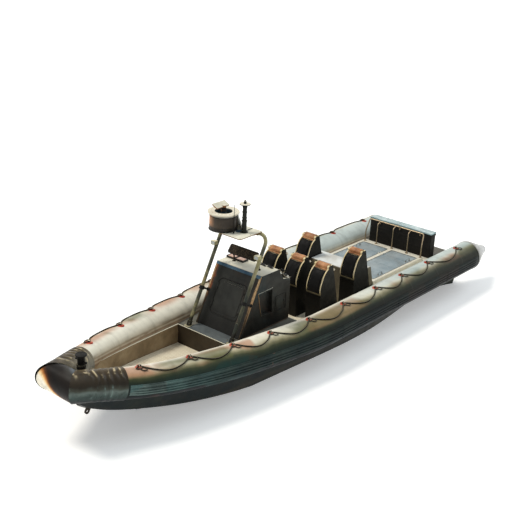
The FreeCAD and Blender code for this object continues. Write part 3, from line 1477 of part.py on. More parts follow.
def build_eyes(hull):
    """The bow eye on the stem and the two stern eyes on the transom."""
    half = EYE_PLATE / 2
    across = V(0, half, 0)
    keel_z = station(BOW_EYE_X)[0]
    rise = station(BOW_EYE_X + 50)[0] - station(BOW_EYE_X - 50)[0]
    normal = V(rise, 0, -100).normalize()
    root = V(BOW_EYE_X, 0, keel_z)
    middle = root + normal * EYE_REACH
    disc = rod(middle - across, middle + across, EYE_PLATE_R)
    side = normal.cross(V(0, 1, 0)) * EYE_PLATE_R
    back = root - normal * 20
    tongue = prism([back - side - across, back + side - across,
                    middle + side - across, middle - side - across], across * 2)
    bow = joined([disc, tongue]).cut(rod(middle - across * 2, middle + across * 2, EYE_BORE_R))
    bow = largest(bow.cut(hull))
    middle = V(TRANSOM_X - EYE_REACH, STERN_EYE_Y, STERN_EYE_Z)
    disc = rod(middle - across, middle + across, EYE_PLATE_R)
    tongue = box(TRANSOM_X - EYE_REACH, TRANSOM_X - FIT, STERN_EYE_Y - half, STERN_EYE_Y + half,
                 STERN_EYE_Z - EYE_PLATE_R, STERN_EYE_Z + EYE_PLATE_R)
    stern = joined([disc, tongue]).cut(rod(middle - across * 2, middle + across * 2, EYE_BORE_R))
    return compound([bow] + both_sides(stern))



def jet_rod(x0, x1, radius):
    """A round body on the port jet's axis."""
    return rod((x0, JET_Y, JET_Z), (x1, JET_Y, JET_Z), radius)


def build_jets():
    """The two waterjet housings with the ears that carry their nozzles."""
    housing = [jet_rod(TRANSOM_X - FIT, JET_END_X, JET_R),
               jet_rod(TRANSOM_X - FIT, TRANSOM_X - JET_FLANGE, JET_FLANGE_R),
               jet_rod(JET_END_X, JET_TUBE_X, JET_TUBE_R)]
    for side in (-1, 1):
        near = JET_Z + side * EAR_NEAR
        far = JET_Z + side * EAR_FAR
        housing.append(box(NOZZLE_PIVOT_X - EAR_HALF, JET_END_X + 1, JET_Y - EAR_HALF, JET_Y + EAR_HALF,
                           min(near, far), max(near, far)))
        pin_end = (NOZZLE_PIVOT_X, JET_Y, JET_Z + side * nozzle_pin_near())
        housing.append(rod((NOZZLE_PIVOT_X, JET_Y, far), pin_end, JET_PIN_R))
    body = joined(housing).cut(jet_rod(JET_END_X + 40, JET_TUBE_X - 1, JET_TUBE_BORE_R))
    return compound(both_sides(body))


def nozzle_pin_near():
    """Where a nozzle's pin ends, from the jet's axis."""
    return NOZZLE_FRONT_R - NOZZLE_WALL - 4


def build_nozzle():
    """The port steering nozzle with the bosses that carry its bucket."""
    front = NOZZLE_PIVOT_X + NOZZLE_FRONT
    length = NOZZLE_FRONT + NOZZLE_REAR
    place = (V(front, JET_Y, JET_Z), V(-1, 0, 0))
    outer = Part.makeCone(NOZZLE_FRONT_R, NOZZLE_REAR_R, length, *place)
    inner = Part.makeCone(NOZZLE_FRONT_R - NOZZLE_WALL, NOZZLE_REAR_R - NOZZLE_WALL, length, *place)
    bucket_x = NOZZLE_PIVOT_X - BUCKET_BACK
    bosses = []
    for side in (-1, 1):
        near = JET_Y + side * (NOZZLE_REAR_R - 4)
        boss_end = (bucket_x, JET_Y + side * (BUCKET_HALF - 6), JET_Z)
        bosses.append(rod((bucket_x, near, JET_Z), boss_end, BUCKET_BOSS_R))
        pivot_end = (bucket_x, JET_Y + side * (BUCKET_HALF + BUCKET_SIDE), JET_Z)
        bosses.append(rod((bucket_x, near, JET_Z), pivot_end, JET_PIN_R))
    nozzle = joined([outer] + bosses).cut(inner)
    hole = rod((NOZZLE_PIVOT_X, JET_Y, JET_Z - JET_R), (NOZZLE_PIVOT_X, JET_Y, JET_Z + JET_R),
               JET_PIN_R + PIN_GAP)
    return nozzle.cut(hole)


def sector(x, z, inner, outer, low, high, y0, y1):
    """Part of a shell round a crosswise axis, by its angles above the after direction."""
    def at(radius, angle):
        a = math.radians(angle)
        return V(x - radius * math.cos(a), y0, z + radius * math.sin(a))

    middle = (low + high) / 2
    edges = [Part.Arc(at(outer, low), at(outer, middle), at(outer, high)).toShape(),
             Part.LineSegment(at(outer, high), at(inner, high)).toShape(),
             Part.Arc(at(inner, high), at(inner, middle), at(inner, low)).toShape(),
             Part.LineSegment(at(inner, low), at(outer, low)).toShape()]
    return Part.Face(Part.Wire(edges)).extrude(V(0, y1 - y0, 0))


def build_bucket():
    """The port reversing bucket in its raised place."""
    x = NOZZLE_PIVOT_X - BUCKET_BACK
    half = BUCKET_HALF + BUCKET_SIDE
    shell = sector(x, JET_Z, BUCKET_R, BUCKET_R + BUCKET_WALL, BUCKET_LOW, BUCKET_HIGH,
                   JET_Y - half, JET_Y + half)
    pieces = [shell]
    for side in (-1, 1):
        y0 = JET_Y + side * BUCKET_HALF
        y1 = JET_Y + side * half
        low, high = min(y0, y1), max(y0, y1)
        corners = [(x + BUCKET_BOSS_R * 0.8, JET_Z), (x - BUCKET_BOSS_R * 0.8, JET_Z)]
        for angle in (BUCKET_LOW, (BUCKET_LOW + BUCKET_HIGH) / 2, BUCKET_HIGH):
            a = math.radians(angle)
            reach = BUCKET_R + BUCKET_WALL / 2
            corners.append((x - reach * math.cos(a), JET_Z + reach * math.sin(a)))
        cheek = side_plate(corners, low, high)
        pieces.append(cheek)
        pieces.append(rod((x, low, JET_Z), (x, high, JET_Z), BUCKET_BOSS_R))
    bucket = joined(pieces)
    return bucket.cut(rod((x, JET_Y - half - 1, JET_Z), (x, JET_Y + half + 1, JET_Z), JET_PIN_R + PIN_GAP))


def export(name, shape):
    shape.exportStep(os.path.join("parts", name + ".step"))
    print(name, len(shape.Solids), shape.isValid(), round(shape.Volume / 1e9, 5))


def main():
    os.makedirs("parts", exist_ok=True)
    side = collar_body(0.0)
    export("collar_port", side)
    export("collar_starboard", mirrored(side))
    export("collar_bow", bow_body(0.0))
    tubes = all_collar(FIT)
    hull = build_hull(tubes)
    export("hull", hull)
    fore_liner = build_fore_liner(tubes, hull)
    export("fore_liner", fore_liner)
    export("fore_sole", build_fore_sole())
    export("console_deck", deck_slab(COCKPIT_FRONT_X + LINER_SKIN + FIT, WELL_SILL_X - LINER_SKIN - FIT,
                                     tubes, hull))
    export("cockpit_liner", build_cockpit_liner(tubes, hull))
    export("cockpit_sole", build_cockpit_sole())
    export("aft_deck", build_aft_deck(tubes, hull))
    lid = build_lid()
    export("hatch_port", lid)
    export("hatch_starboard", mirrored(lid))
    export("engines", build_engines())
    export("cones", build_cones())
    export("chafe_sleeves", build_sleeves([hull, fore_liner]))
    export("rubbing_strakes", build_strakes())
    export("line_patches", build_patches())
    export("grab_lines", build_grab_lines())
    export("console", build_console())
    export("console_hatch", build_console_hatch())
    door = build_console_door()
    export("console_door_port", door)
    export("console_door_starboard", mirrored(door))
    export("dash_panel", build_dash())
    export("displays", build_displays())
    export("throttles", build_throttles())
    export("steering_wheel", build_steering_wheel())
    export("console_step", build_step())
    export("wind_deflector", build_deflector())
    export("arch", build_arch())
    export("arch_clamps", build_arch_clamps())
    export("arch_plate", build_plate())
    export("floodlights", build_lamps())
    export("floodlight_lenses", build_lenses())
    export("scanner_drum", build_drum())
    export("scanner_head", build_scanner_head())
    export("sensor_mast", build_mast())
    export("whip_aerial", build_whip())
    pod = build_seat_pod()
    pad = build_seat_pad()
    for i, (x, y) in enumerate(SEATS):
        export("seat_pod_%d" % (i + 1), pod.translated(V(x, y, 0)))
        export("seat_pad_%d" % (i + 1), pad.translated(V(x, y, 0)))
    export("grab_handles", build_handles())
    export("engine_casing", build_casing())
    export("guard_rail", build_guard_rail())
    export("stern_locker", build_locker())
    export("locker_top", build_locker_top())
    export("bow_bollard", build_bollard(fore_liner))
    export("tow_eyes", build_eyes(hull))
    export("intake_grilles", build_intakes())
    export("jet_housings", build_jets())
    nozzle = build_nozzle()
    export("nozzle_port", nozzle)
    export("nozzle_starboard", mirrored(nozzle))
    bucket = build_bucket()
    export("bucket_port", bucket)
    export("bucket_starboard", mirrored(bucket))


main()
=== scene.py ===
"""The dressed model of an open rigid inflatable boat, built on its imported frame.

Metres, +X forward, +Y to port, +Z up, origin at the waterline on the centreline.
"""

import json
import math

import bmesh
import bpy
from mathutils import Matrix, Vector, noise


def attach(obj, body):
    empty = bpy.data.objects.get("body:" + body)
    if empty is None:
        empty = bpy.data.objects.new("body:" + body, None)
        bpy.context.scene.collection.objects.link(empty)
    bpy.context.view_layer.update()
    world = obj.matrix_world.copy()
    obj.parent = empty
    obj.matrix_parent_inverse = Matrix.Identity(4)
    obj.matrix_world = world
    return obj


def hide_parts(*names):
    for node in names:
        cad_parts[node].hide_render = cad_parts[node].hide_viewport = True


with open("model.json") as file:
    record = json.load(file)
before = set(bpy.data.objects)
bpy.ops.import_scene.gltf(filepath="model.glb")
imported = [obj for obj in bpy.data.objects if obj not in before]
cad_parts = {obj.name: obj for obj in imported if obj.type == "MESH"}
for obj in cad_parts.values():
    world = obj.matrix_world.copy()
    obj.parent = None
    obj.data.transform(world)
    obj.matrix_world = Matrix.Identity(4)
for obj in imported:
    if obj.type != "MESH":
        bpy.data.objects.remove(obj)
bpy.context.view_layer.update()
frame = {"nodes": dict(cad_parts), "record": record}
BOAT = "boat"
X, Y, Z = range(3)
SIDES = ((1, "port"), (-1, "starboard"))

# Camera, as the photograph was taken, and light
CAMERA_AT = Vector((12.899, 9.915, 7.942))
CAMERA_BACK = Vector((0.7178, 0.5925, 0.3656)).normalized()
CAMERA_ROLL = math.radians(2.6727)
LENS_MM, SENSOR_MM, FAR_CLIP = 67.75, 36.0, 200.0
SKY, SKY_STRENGTH = (0.90, 0.95, 1.0, 1), 0.40
WHITE = (1, 1, 1, 1)
FLOOR_HALF, FLOOR_GLOW = 60.0, 0.32
# name, way towards the lamp, strength, spread in degrees, tint
SUNS = (("key", (0.30, -0.55, 1.15), 2.1, 20.0, (1.0, 0.95, 0.87)),
        ("sky", (-0.75, 0.30, 0.80), 0.9, 40.0, (0.86, 0.94, 1.0)))


# The arch's feet, the plate on it, and the drum and the mast that stand on the plate
ARCH_X, ARCH_Y, ARCH_Z = 2.010, 0.488, 0.752
PLATE_Z = 2.398 + 0.032 + 0.0003 + 0.014
DRUM = Vector((1.545, -0.200, PLATE_Z))
MAST = Vector((1.430, 0.165, PLATE_Z))


def add_object(name, data):
    obj = bpy.data.objects.new(name, data)
    bpy.context.scene.collection.objects.link(obj)
    return obj


def place_camera():
    data = bpy.data.cameras.new("camera")
    data.sensor_width = SENSOR_MM
    data.lens = LENS_MM
    data.clip_end = FAR_CLIP
    camera = add_object("camera", data)
    side = (-CAMERA_BACK).cross(Vector((0, 0, 1))).normalized()
    up = CAMERA_BACK.cross(side)
    across = side * math.cos(CAMERA_ROLL) + up * math.sin(CAMERA_ROLL)
    upward = up * math.cos(CAMERA_ROLL) - side * math.sin(CAMERA_ROLL)
    turn = Matrix((across, upward, CAMERA_BACK)).transposed()
    camera.matrix_world = Matrix.Translation(CAMERA_AT) @ turn.to_4x4()
    bpy.context.scene.camera = camera


def feed(tree, node, inputs):
    """Gives a node its inputs, each of them a socket or a value."""
    for key, value in inputs.items():
        if isinstance(value, bpy.types.NodeSocket):
            tree.links.new(value, node.inputs[key])
        elif value is not None:
            node.inputs[key].default_value = value


def add_node(tree, kind, inputs, output=0, **settings):
    """A shader node with its settings and inputs, as one of its outputs."""
    node = tree.nodes.new("ShaderNode" + kind)
    for key, value in settings.items():
        setattr(node, key, value)
    feed(tree, node, inputs)
    return node.outputs[output] if node.outputs else None


def light_scene():
    world = bpy.data.worlds.new("studio")
    bpy.context.scene.world = world
    world.use_nodes = True
    tree = world.node_tree
    tree.nodes.clear()
    path = tree.nodes.new("ShaderNodeLightPath")
    seen = path.outputs["Is Camera Ray"]
    for ray in ("Is Glossy Ray", "Is Transmission Ray"):
        seen = add_node(tree, "Math", {0: seen, 1: path.outputs[ray]}, operation="MAXIMUM")
    soft = add_node(tree, "Background", {"Color": SKY, "Strength": SKY_STRENGTH})
    white = add_node(tree, "Background", {"Color": WHITE})
    blend = add_node(tree, "MixShader", {0: seen, 1: soft, 2: white})
    add_node(tree, "OutputWorld", {"Surface": blend})
    for name, towards, strength, spread, tint in SUNS:
        data = bpy.data.lights.new(name, "SUN")
        data.energy = strength
        data.angle = math.radians(spread)
        data.color = tint
        add_object(name, data).rotation_euler = Vector(towards).to_track_quat("Z", "Y").to_euler()


def lay_floor():
    data = bpy.data.meshes.new("floor")
    corners = [(x * FLOOR_HALF, y * FLOOR_HALF, 0) for x, y in ((-1, -1), (1, -1), (1, 1), (-1, 1))]
    data.from_pydata(corners, [], [(0, 1, 2, 3)])
    paint = Paint("floor", 0.9)
    paint.mottle((243, 243, 241), (248, 248, 246), 0.15, 2.0, 0.3, 0.7)
    paint.set({"Emission Color": WHITE, "Emission Strength": FLOOR_GLOW})
    data.materials.append(paint.done())
    add_object("floor", data)


# Colours and material nodes
def tone(tint):
    """A screen colour, 0 to 255, as the linear value that a socket takes; a socket stays as it is."""
    if isinstance(tint, bpy.types.NodeSocket):
        return tint
    shares = [value / 255 for value in tint]
    return tuple(v / 12.92 if v <= 0.04045 else ((v + 0.055) / 1.055) ** 2.4 for v in shares) + (1.0,)


def tube_share(angle):
    """The place of an angle in the map round a tube: outboard 0, top 90, inboard 180, bottom 270."""
    return (angle + 90.0) / 360.0


class Paint:
    """The nodes of one material, on the object's own coordinates in metres. Its tint grows in layers."""

    def __init__(self, name, rough, metal=0.0, coat=0.0, gloss=0.14):
        self.material = bpy.data.materials.new(name)
        self.material.use_nodes = True
        self.tree = self.material.node_tree
        self.tree.nodes.clear()
        self.shader = self.tree.nodes.new("ShaderNodeBsdfPrincipled")
        self.set({"Roughness": rough, "Metallic": metal, "Coat Weight": coat, "Coat Roughness": 0.2,
                  "Specular IOR Level": gloss})
        self.node("OutputMaterial", {"Surface": self.shader.outputs[0]})
        self.coords = self.tree.nodes.new("ShaderNodeTexCoord")
        self.spot = self.coords.outputs["Object"]
        self.tint = None
        self.relief = None
        self.around = None

    def set(self, inputs):
        feed(self.tree, self.shader, inputs)

    def node(self, kind, inputs, output=0, **settings):
        return add_node(self.tree, kind, inputs, output, **settings)

    def math(self, operation, a, b=None):
        return self.node("Math", {0: a, 1: b}, operation=operation)

    def times(self, share, *others):
        for other in others:
            share = self.math("MULTIPLY", share, other)
        return share

    def axis(self, vector, axis):
        return self.node("SeparateXYZ", {0: vector}, axis)

    def stretched(self, x, y, z):
        return self.node("VectorMath", {0: self.spot, 1: (x, y, z)}, operation="MULTIPLY")

    def noise(self, scale, detail=3.0, rough=0.55, warp=0.0, at=None):
        return self.node("TexNoise", {"Vector": at or self.spot, "Scale": scale, "Detail": detail,
                                      "Roughness": rough, "Distortion": warp}, "Fac")

    def cells(self, scale, output="Distance", at=None):
        return self.node("TexVoronoi", {"Vector": at or self.spot, "Scale": scale}, output)

    def waves(self, scale, axis, warp=0.0):
        return self.node("TexWave", {"Vector": self.spot, "Scale": scale, "Distortion": warp,
                                     "Detail Scale": 2.0}, "Fac", bands_direction=axis)

    def level(self, value, low, high, end=1.0, start=0.0):
        """Eases from start to end while the value goes from low to high."""
        return self.node("MapRange", {"Value": value, "From Min": low, "From Max": high, "To Min": start,
                                      "To Max": end}, "Result", interpolation_type="SMOOTHSTEP")

    def at(self, axis, low, high, end=1.0):
        """Eases in along an axis of the boat."""
        return self.level(self.axis(self.spot, axis), low, high, end)

    def faces(self, axis, low, high, end=1.0):
        """Eases in by how far the surface faces along an axis, -1 to 1."""
        return self.level(self.axis(self.coords.outputs["Normal"], axis), low, high, end)

    def spots(self, scale, detail, low, high, end=1.0, rough=0.55, warp=0.0, at=None):
        """Soft spots where the noise is high."""
        return self.level(self.noise(scale, detail, rough, warp, at), low, high, end)

    def wander(self, scale, width, detail=4.0):
        """A slow drift to both sides, for ragged edges."""
        return self.times(self.math("SUBTRACT", self.noise(scale, detail), 0.5), width)

    def unwrap(self):
        """Reads the map of a tube: how far round it, and how far along it as what is given back."""
        uv = self.node("UVMap", {})
        self.around = self.axis(uv, Y)
        return self.axis(uv, X)

    def arc(self, low, high):
        """Eases in while the angle round the tube goes from low to high degrees."""
        return self.level(self.around, tube_share(low), tube_share(high))

    def mix(self, share, a, b, mode="MIX"):
        return self.node("Mix", {0: share, 6: tone(a), 7: tone(b)}, 2, data_type="RGBA", blend_type=mode)

    def mottle(self, a, b, *spots, **more):
        """Starts the tint as a mottle of two colours."""
        self.tint = self.mix(self.spots(*spots, **more), a, b)

    def ring(self, value, stops):
        """Starts the tint as bands of colour by the angle round a tube."""
        node = self.tree.nodes.new("ShaderNodeValToRGB")
        self.tree.links.new(value, node.inputs["Fac"])
        band = node.color_ramp
        while len(band.elements) < len(stops):
            band.elements.new(0.5)
        for element, (angle, tint) in zip(band.elements, stops):
            element.position = tube_share(angle)
            element.color = tone(tint)
        self.tint = node.outputs["Color"]

    def lay(self, tint, *shares):
        """Lays a colour over the tint, as far as the product of the shares."""
        self.tint = self.mix(self.times(*shares), self.tint, tint)

    def grime(self, dark, amount=0.5, scale=3.0):
        self.lay(dark, self.spots(scale, 6.0, 0.42, 0.72, amount, 0.62, 0.4))

    def shade(self, low, high, value):
        """Makes the tint darker or lighter by a value from 0 to 1."""
        value = self.level(value, 0.0, 1.0, high, low)
        grey = self.node("CombineColor", {0: value, 1: value, 2: value})
        self.tint = self.mix(1.0, self.tint, grey, "MULTIPLY")

    def vary_gloss(self, scale, low, high):
        self.set({"Roughness": self.level(self.noise(scale, 4.0), 0.3, 0.7, high, low)})

    def bump(self, height, depth, strength):
        self.relief = self.node("Bump", {"Strength": strength, "Distance": depth, "Height": height,
                                         "Normal": self.relief})

    def grain(self, scale, detail, depth, strength):
        self.bump(self.noise(scale, detail), depth, strength)

    def done(self):
        self.set({"Base Color": self.tint, "Normal": self.relief})
        return self.material


# Tints by the angle round the tube, partly painted light: the pale cream top is a painted highlight, the
# dark outboard flank and underside are painted shade over the tube's own dark green, and the brown bands
# low inboard are painted shade along the coaming
TUBE_TINTS_AND_LIGHT = (
    (-90, (10, 14, 16)), (-30, (15, 22, 24)), (-4, (22, 34, 34)), (12, (26, 40, 36)),
    (30, (36, 46, 34)), (42, (60, 64, 42)), (51, (112, 108, 78)), (60, (170, 162, 130)),
    (72, (214, 209, 186)), (100, (240, 236, 220)), (136, (234, 228, 208)), (152, (212, 202, 178)),
    (158, (168, 150, 126)), (163, (206, 192, 166)), (169, (146, 122, 98)), (175, (192, 172, 146)),
    (183, (132, 106, 82)), (196, (150, 128, 100)), (214, (100, 80, 58)), (232, (84, 68, 50)),
    (268, (40, 36, 28)),
)
# the pale warm wedge low on the bow tube's front, up to about -17 degrees, is a painted highlight
BOW_TINTS_AND_LIGHT = (
    (-90, (252, 244, 222)), (-40, (254, 246, 226)), (-28, (250, 216, 158)), (-17, (196, 126, 68)),
    (-8, (84, 50, 28)), (4, (30, 20, 14)), (34, (15, 12, 10)), (80, (26, 21, 17)),
    (112, (58, 56, 52)), (130, (92, 98, 104)), (150, (60, 58, 52)), (268, (58, 48, 36)),
)
# the grey-teal band at mid-height and the pale band high inboard of the sleeve are painted highlights
SLEEVE_TINTS_AND_LIGHT = (
    (-90, (16, 18, 16)), (-40, (26, 32, 30)), (-14, (58, 72, 68)), (2, (96, 108, 102)),
    (12, (66, 68, 58)), (26, (40, 35, 26)), (58, (52, 43, 30)), (84, (70, 58, 40)),
    (112, (96, 86, 66)), (150, (150, 142, 122)), (176, (150, 148, 138)), (200, (92, 86, 74)),
    (222, (58, 48, 36)), (268, (26, 23, 18)),
)
MAP_LENGTH = 10.0
PANEL_LENGTH = 0.97


def collar_paint():
    paint = Paint("collar_hypalon", 0.42, gloss=0.1)
    along = paint.times(paint.unwrap(), MAP_LENGTH)
    drift = paint.times(paint.wander(1.6, 0.11), paint.arc(150, 60))
    paint.ring(paint.math("ADD", paint.around, drift), TUBE_TINTS_AND_LIGHT)
    # peach and olive patches on the shoulder, teal and brown ones on the flank
    shoulder = paint.times(paint.arc(118, 84), paint.arc(38, 56))
    flank = paint.arc(50, 24)
    paint.lay((182, 128, 96), paint.spots(0.75, 3.0, 0.5, 0.62, 0.72, 0.5, 0.5), shoulder)
    green = paint.spots(0.6, 3.0, 0.52, 0.64, 0.7, 0.5, 0.8, paint.stretched(1.0, 1.4, 1.4))
    paint.lay((88, 92, 48), green, shoulder)
    cell = paint.axis(paint.cells(1.7, "Color", paint.stretched(0.6, 1.0, 1.0)), X)
    paint.lay((30, 62, 58), paint.level(cell, 0.5, 0.62, 0.6), flank)
    paint.lay((62, 42, 32), paint.spots(1.5, 3.0, 0.56, 0.68, 0.5, 0.5, 0.6), flank)
    # dark towards the stern, with a painted reflection of the sky's blue on the after crown
    paint.lay((8, 12, 12), paint.at(X, 3.6, -1.0, 0.92), flank)
    paint.lay((38, 40, 32), paint.at(X, 0.5, -3.6, 0.7), paint.arc(84, 50))
    paint.lay((178, 192, 190), paint.at(X, 0.4, -2.4, 0.8), paint.arc(66, 88), paint.arc(176, 140))
    # upright weather streaks, long stains inboard and dirt
    lines = paint.node("CombineXYZ", {0: paint.times(along, 11.0), 1: paint.times(paint.around, 4.0)})
    paint.shade(0.965, 1.02, paint.level(paint.noise(1.0, 4.0, 0.6, at=lines), 0.25, 0.75))
    stain = paint.spots(3.6, 5.0, 0.5, 0.66, 0.62, 0.6, 0.2, paint.stretched(0.22, 3.0, 3.0))
    paint.lay((112, 88, 64), stain, paint.arc(140, 162), paint.arc(232, 206))
    paint.grime((52, 46, 34), 0.2, 4.0)
    # seam tapes where the panels are joined
    panel = paint.math("FRACT", paint.math("DIVIDE", along, PANEL_LENGTH))
    tape = paint.level(paint.math("ABSOLUTE", paint.math("SUBTRACT", panel, 0.5)), 0.468, 0.474)
    paint.lay((58, 54, 44), tape, 0.08)
    paint.vary_gloss(4.0, 0.34, 0.52)
    paint.grain(7.0, 3.0, 0.006, 0.5)
    paint.bump(tape, 0.002, 0.7)
    paint.grain(520.0, 2.0, 0.0006, 0.35)
    return paint.done()


def bow_paint():
    """Dark tube across the bow, with a painted pale warm highlight low on its front that widens to
    starboard.
    """
    paint = Paint("bow_hypalon", 0.4, gloss=0.1)
    paint.unwrap()
    across = paint.level(paint.axis(paint.spot, Y), 0.24, -0.36, -0.17, 0.095)
    wavy = paint.math("ADD", paint.around, paint.wander(3.0, 0.035))
    paint.ring(paint.math("ADD", wavy, across), BOW_TINTS_AND_LIGHT)
    paint.grime((30, 24, 20), 0.25, 6.0)
    paint.shade(0.84, 1.12, paint.noise(14.0, 5.0))
    paint.vary_gloss(5.0, 0.32, 0.48)
    paint.grain(9.0, 3.0, 0.005, 0.5)
    paint.grain(520.0, 2.0, 0.0006, 0.35)
    return paint.done()


def sleeve_paint():
    """Creased rubber, with painted highlights on the crests of its folds and painted shade in their
    hollows.
    """
    paint = Paint("chafe_rubber", 0.34)
    paint.unwrap()
    paint.ring(paint.math("ADD", paint.around, paint.wander(6.0, 0.07)), SLEEVE_TINTS_AND_LIGHT)
    folds = paint.node("Attribute", {}, "Fac", attribute_name="fold")
    blots = paint.spots(9.0, 3.0, 0.44, 0.62, 1.0, 0.5, 0.5)
    # painted highlights on the crests of the folds: cream on top, grey-teal at mid-height
    crest_highlight = paint.times(paint.level(folds, 0.55, 0.95, 0.85), blots)
    paint.lay((222, 204, 164), crest_highlight, paint.arc(44, 74))
    paint.lay((132, 156, 150), crest_highlight, paint.times(paint.arc(30, 8), paint.arc(-34, -14)))
    # painted shade in the hollows between the folds
    paint.lay((20, 18, 14), paint.level(folds, 0.42, 0.05, 0.45))
    paint.grime((24, 22, 17), 0.45, 7.0)
    paint.vary_gloss(12.0, 0.26, 0.44)
    paint.grain(38.0, 4.0, 0.0025, 0.5)
    paint.grain(420.0, 2.0, 0.0006, 0.3)
    return paint.done()


def hull_paint():
    """Dark gelcoat with a faint scum line just above the water."""
    paint = Paint("hull_gelcoat", 0.42, coat=0.2)
    paint.mottle((16, 26, 26), (26, 34, 28), 1.6, 4.0, 0.45, 0.6, warp=0.7)
    paint.grime((60, 50, 34), 0.3, 4.0)
    paint.lay((62, 58, 44), paint.at(Z, 0.02, 0.05), paint.at(Z, 0.15, 0.08), 0.5)
    paint.shade(0.8, 1.2, paint.noise(30.0, 4.0))
    paint.vary_gloss(6.0, 0.34, 0.55)
    paint.grain(11.0, 3.0, 0.002, 0.4)
    return paint.done()


def strake_paint():
    paint = Paint("strake_rubber", 0.5)
    paint.mottle((28, 44, 44), (52, 66, 60), 2.2, 4.0, 0.35, 0.7)
    cell = paint.axis(paint.cells(1.9, "Color", paint.stretched(0.8, 1.0, 1.0)), X)
    paint.lay((96, 78, 66), paint.level(cell, 0.62, 0.66, 0.6))
    # a painted highlight: light teal on the forward ribs of the strake
    paint.lay((96, 124, 120), paint.at(X, 2.4, 4.2, 0.6))
    paint.grime((20, 26, 24), 0.6, 3.0)
    paint.lay((9, 13, 12), paint.at(X, 3.0, -1.6, 0.82))
    paint.shade(0.7, 1.25, paint.noise(18.0, 4.0, at=paint.stretched(0.2, 4.0, 4.0)))
    paint.bump(paint.waves(11.0, "Z", 0.4), 0.0016, 0.5)
    paint.grain(60.0, 4.0, 0.0012, 0.4)
    return paint.done()


def moulded(name, tint, dark, light, rough=0.5, grain=160.0, depth=0.0008, coat=0.0, dirt=0.4):
    """Moulded or painted panel: mottled, dirty in patches and scuffed pale."""
    paint = Paint(name, rough, coat=coat)
    paint.mottle(tint, light, 2.4, 5.0, 0.35, 0.7, warp=0.5)
    paint.grime(dark, dirt, 3.5)
    paint.lay(light, paint.spots(26.0, 5.0, 0.62, 0.75, 0.35, 0.7))
    paint.vary_gloss(9.0, max(0.05, rough - 0.1), min(1.0, rough + 0.12))
    paint.grain(grain, 3.0, depth, 0.5)
    paint.grain(5.0, 2.0, 0.0015, 0.3)
    return paint


def liner_paint():
    paint = moulded("liner_gelcoat", (136, 117, 90), (60, 50, 38), (166, 146, 116))
    up = paint.faces(Z, 0.6, 0.9)
    # painted shade on the faces that look forward, and a painted cream highlight where the liner faces up
    paint.lay((40, 35, 29), paint.faces(X, 0.3, 0.8), 0.9)
    paint.lay((232, 226, 202), up)
    return paint.done()


def tread_paint():
    """Pale sole with a moulded grid."""
    paint = Paint("sole_tread", 0.62)
    paint.mottle((232, 222, 196), (246, 238, 216), 1.8, 4.0, 0.35, 0.7)
    paint.grime((176, 152, 120), 0.45, 2.4)
    lines = [paint.level(paint.waves(7.0, axis), 0.0, 0.18, 0.0, 1.0) for axis in "XY"]
    grid = paint.math("MAXIMUM", *lines)
    paint.lay((140, 124, 98), grid, 0.35)
    paint.bump(paint.math("SUBTRACT", 1.0, grid), 0.002, 0.7)
    paint.grain(200.0, 3.0, 0.0006, 0.5)
    return paint.done()


def lid_paint():
    paint = Paint("lid_nonslip", 0.55)
    speck = paint.level(paint.cells(95.0), 0.12, 0.3)
    paint.mottle((124, 138, 144), (158, 168, 170), 2.2, 5.0, 0.3, 0.7)
    paint.lay((188, 194, 192), paint.math("SUBTRACT", 1.0, speck))
    paint.grime((96, 90, 78), 0.4, 2.4)
    paint.vary_gloss(7.0, 0.42, 0.66)
    paint.bump(speck, 0.0016, 0.6)
    paint.grain(6.0, 2.0, 0.002, 0.3)
    return paint.done()


def frame_paint():
    """Cream frame of the after deck, dark behind the stern locker."""
    paint = Paint("aft_deck_frame", 0.5)
    paint.mottle((226, 221, 204), (242, 238, 222), 3.0, 5.0, 0.3, 0.7)
    paint.grime((140, 124, 98), 0.4, 3.0)
    paint.lay((34, 33, 28), paint.at(X, -3.84, -3.88, 0.9))
    ribs = paint.waves(26.0, "Y")
    paint.lay((120, 112, 94), paint.level(ribs, 0.3, 0.0, 0.4))
    paint.bump(ribs, 0.0022, 0.6)
    return paint.done()


def console_paint():
    """Charcoal moulding with brown blotches, painted warm highlights along the front edges, and a painted
    cream highlight where it faces up.
    """
    paint = moulded("console_gelcoat", (34, 35, 32), (13, 12, 10), (50, 51, 47), coat=0.05, dirt=0.5)
    paint.lay((56, 40, 30), paint.spots(1.7, 4.0, 0.5, 0.7, 0.5, warp=1.0))
    paint.lay((12, 11, 9), paint.at(Z, 1.1, 0.75, 0.6))
    # painted warm highlights along the front edges: orange on the starboard edge, pale on the port edge
    front = paint.times(paint.faces(X, 0.6, 0.85), paint.at(X, 1.08, 1.16))
    ragged = paint.math("ADD", paint.axis(paint.spot, Y), paint.wander(7.0, 0.16, 5.0))
    paint.lay((150, 82, 46), paint.level(ragged, -0.425, -0.49, 0.8), paint.at(Z, 1.0, 1.35), front)
    paint.lay((206, 168, 122), paint.level(ragged, 0.455, 0.505, 0.85), paint.at(Z, 0.85, 1.3), front)
    paint.lay((36, 50, 52), paint.spots(2.6, 4.0, 0.5, 0.66, 0.5), paint.faces(Y, 0.6, 0.9))
    # a painted cream highlight where the top faces up
    painted_highlight_cream = paint.mix(paint.spots(3.0, 4.0, 0.35, 0.7), (214, 208, 186), (234, 229, 210))
    paint.lay(painted_highlight_cream, paint.faces(Z, 0.8, 0.95), paint.at(Z, 1.35, 1.45))
    return paint.done()


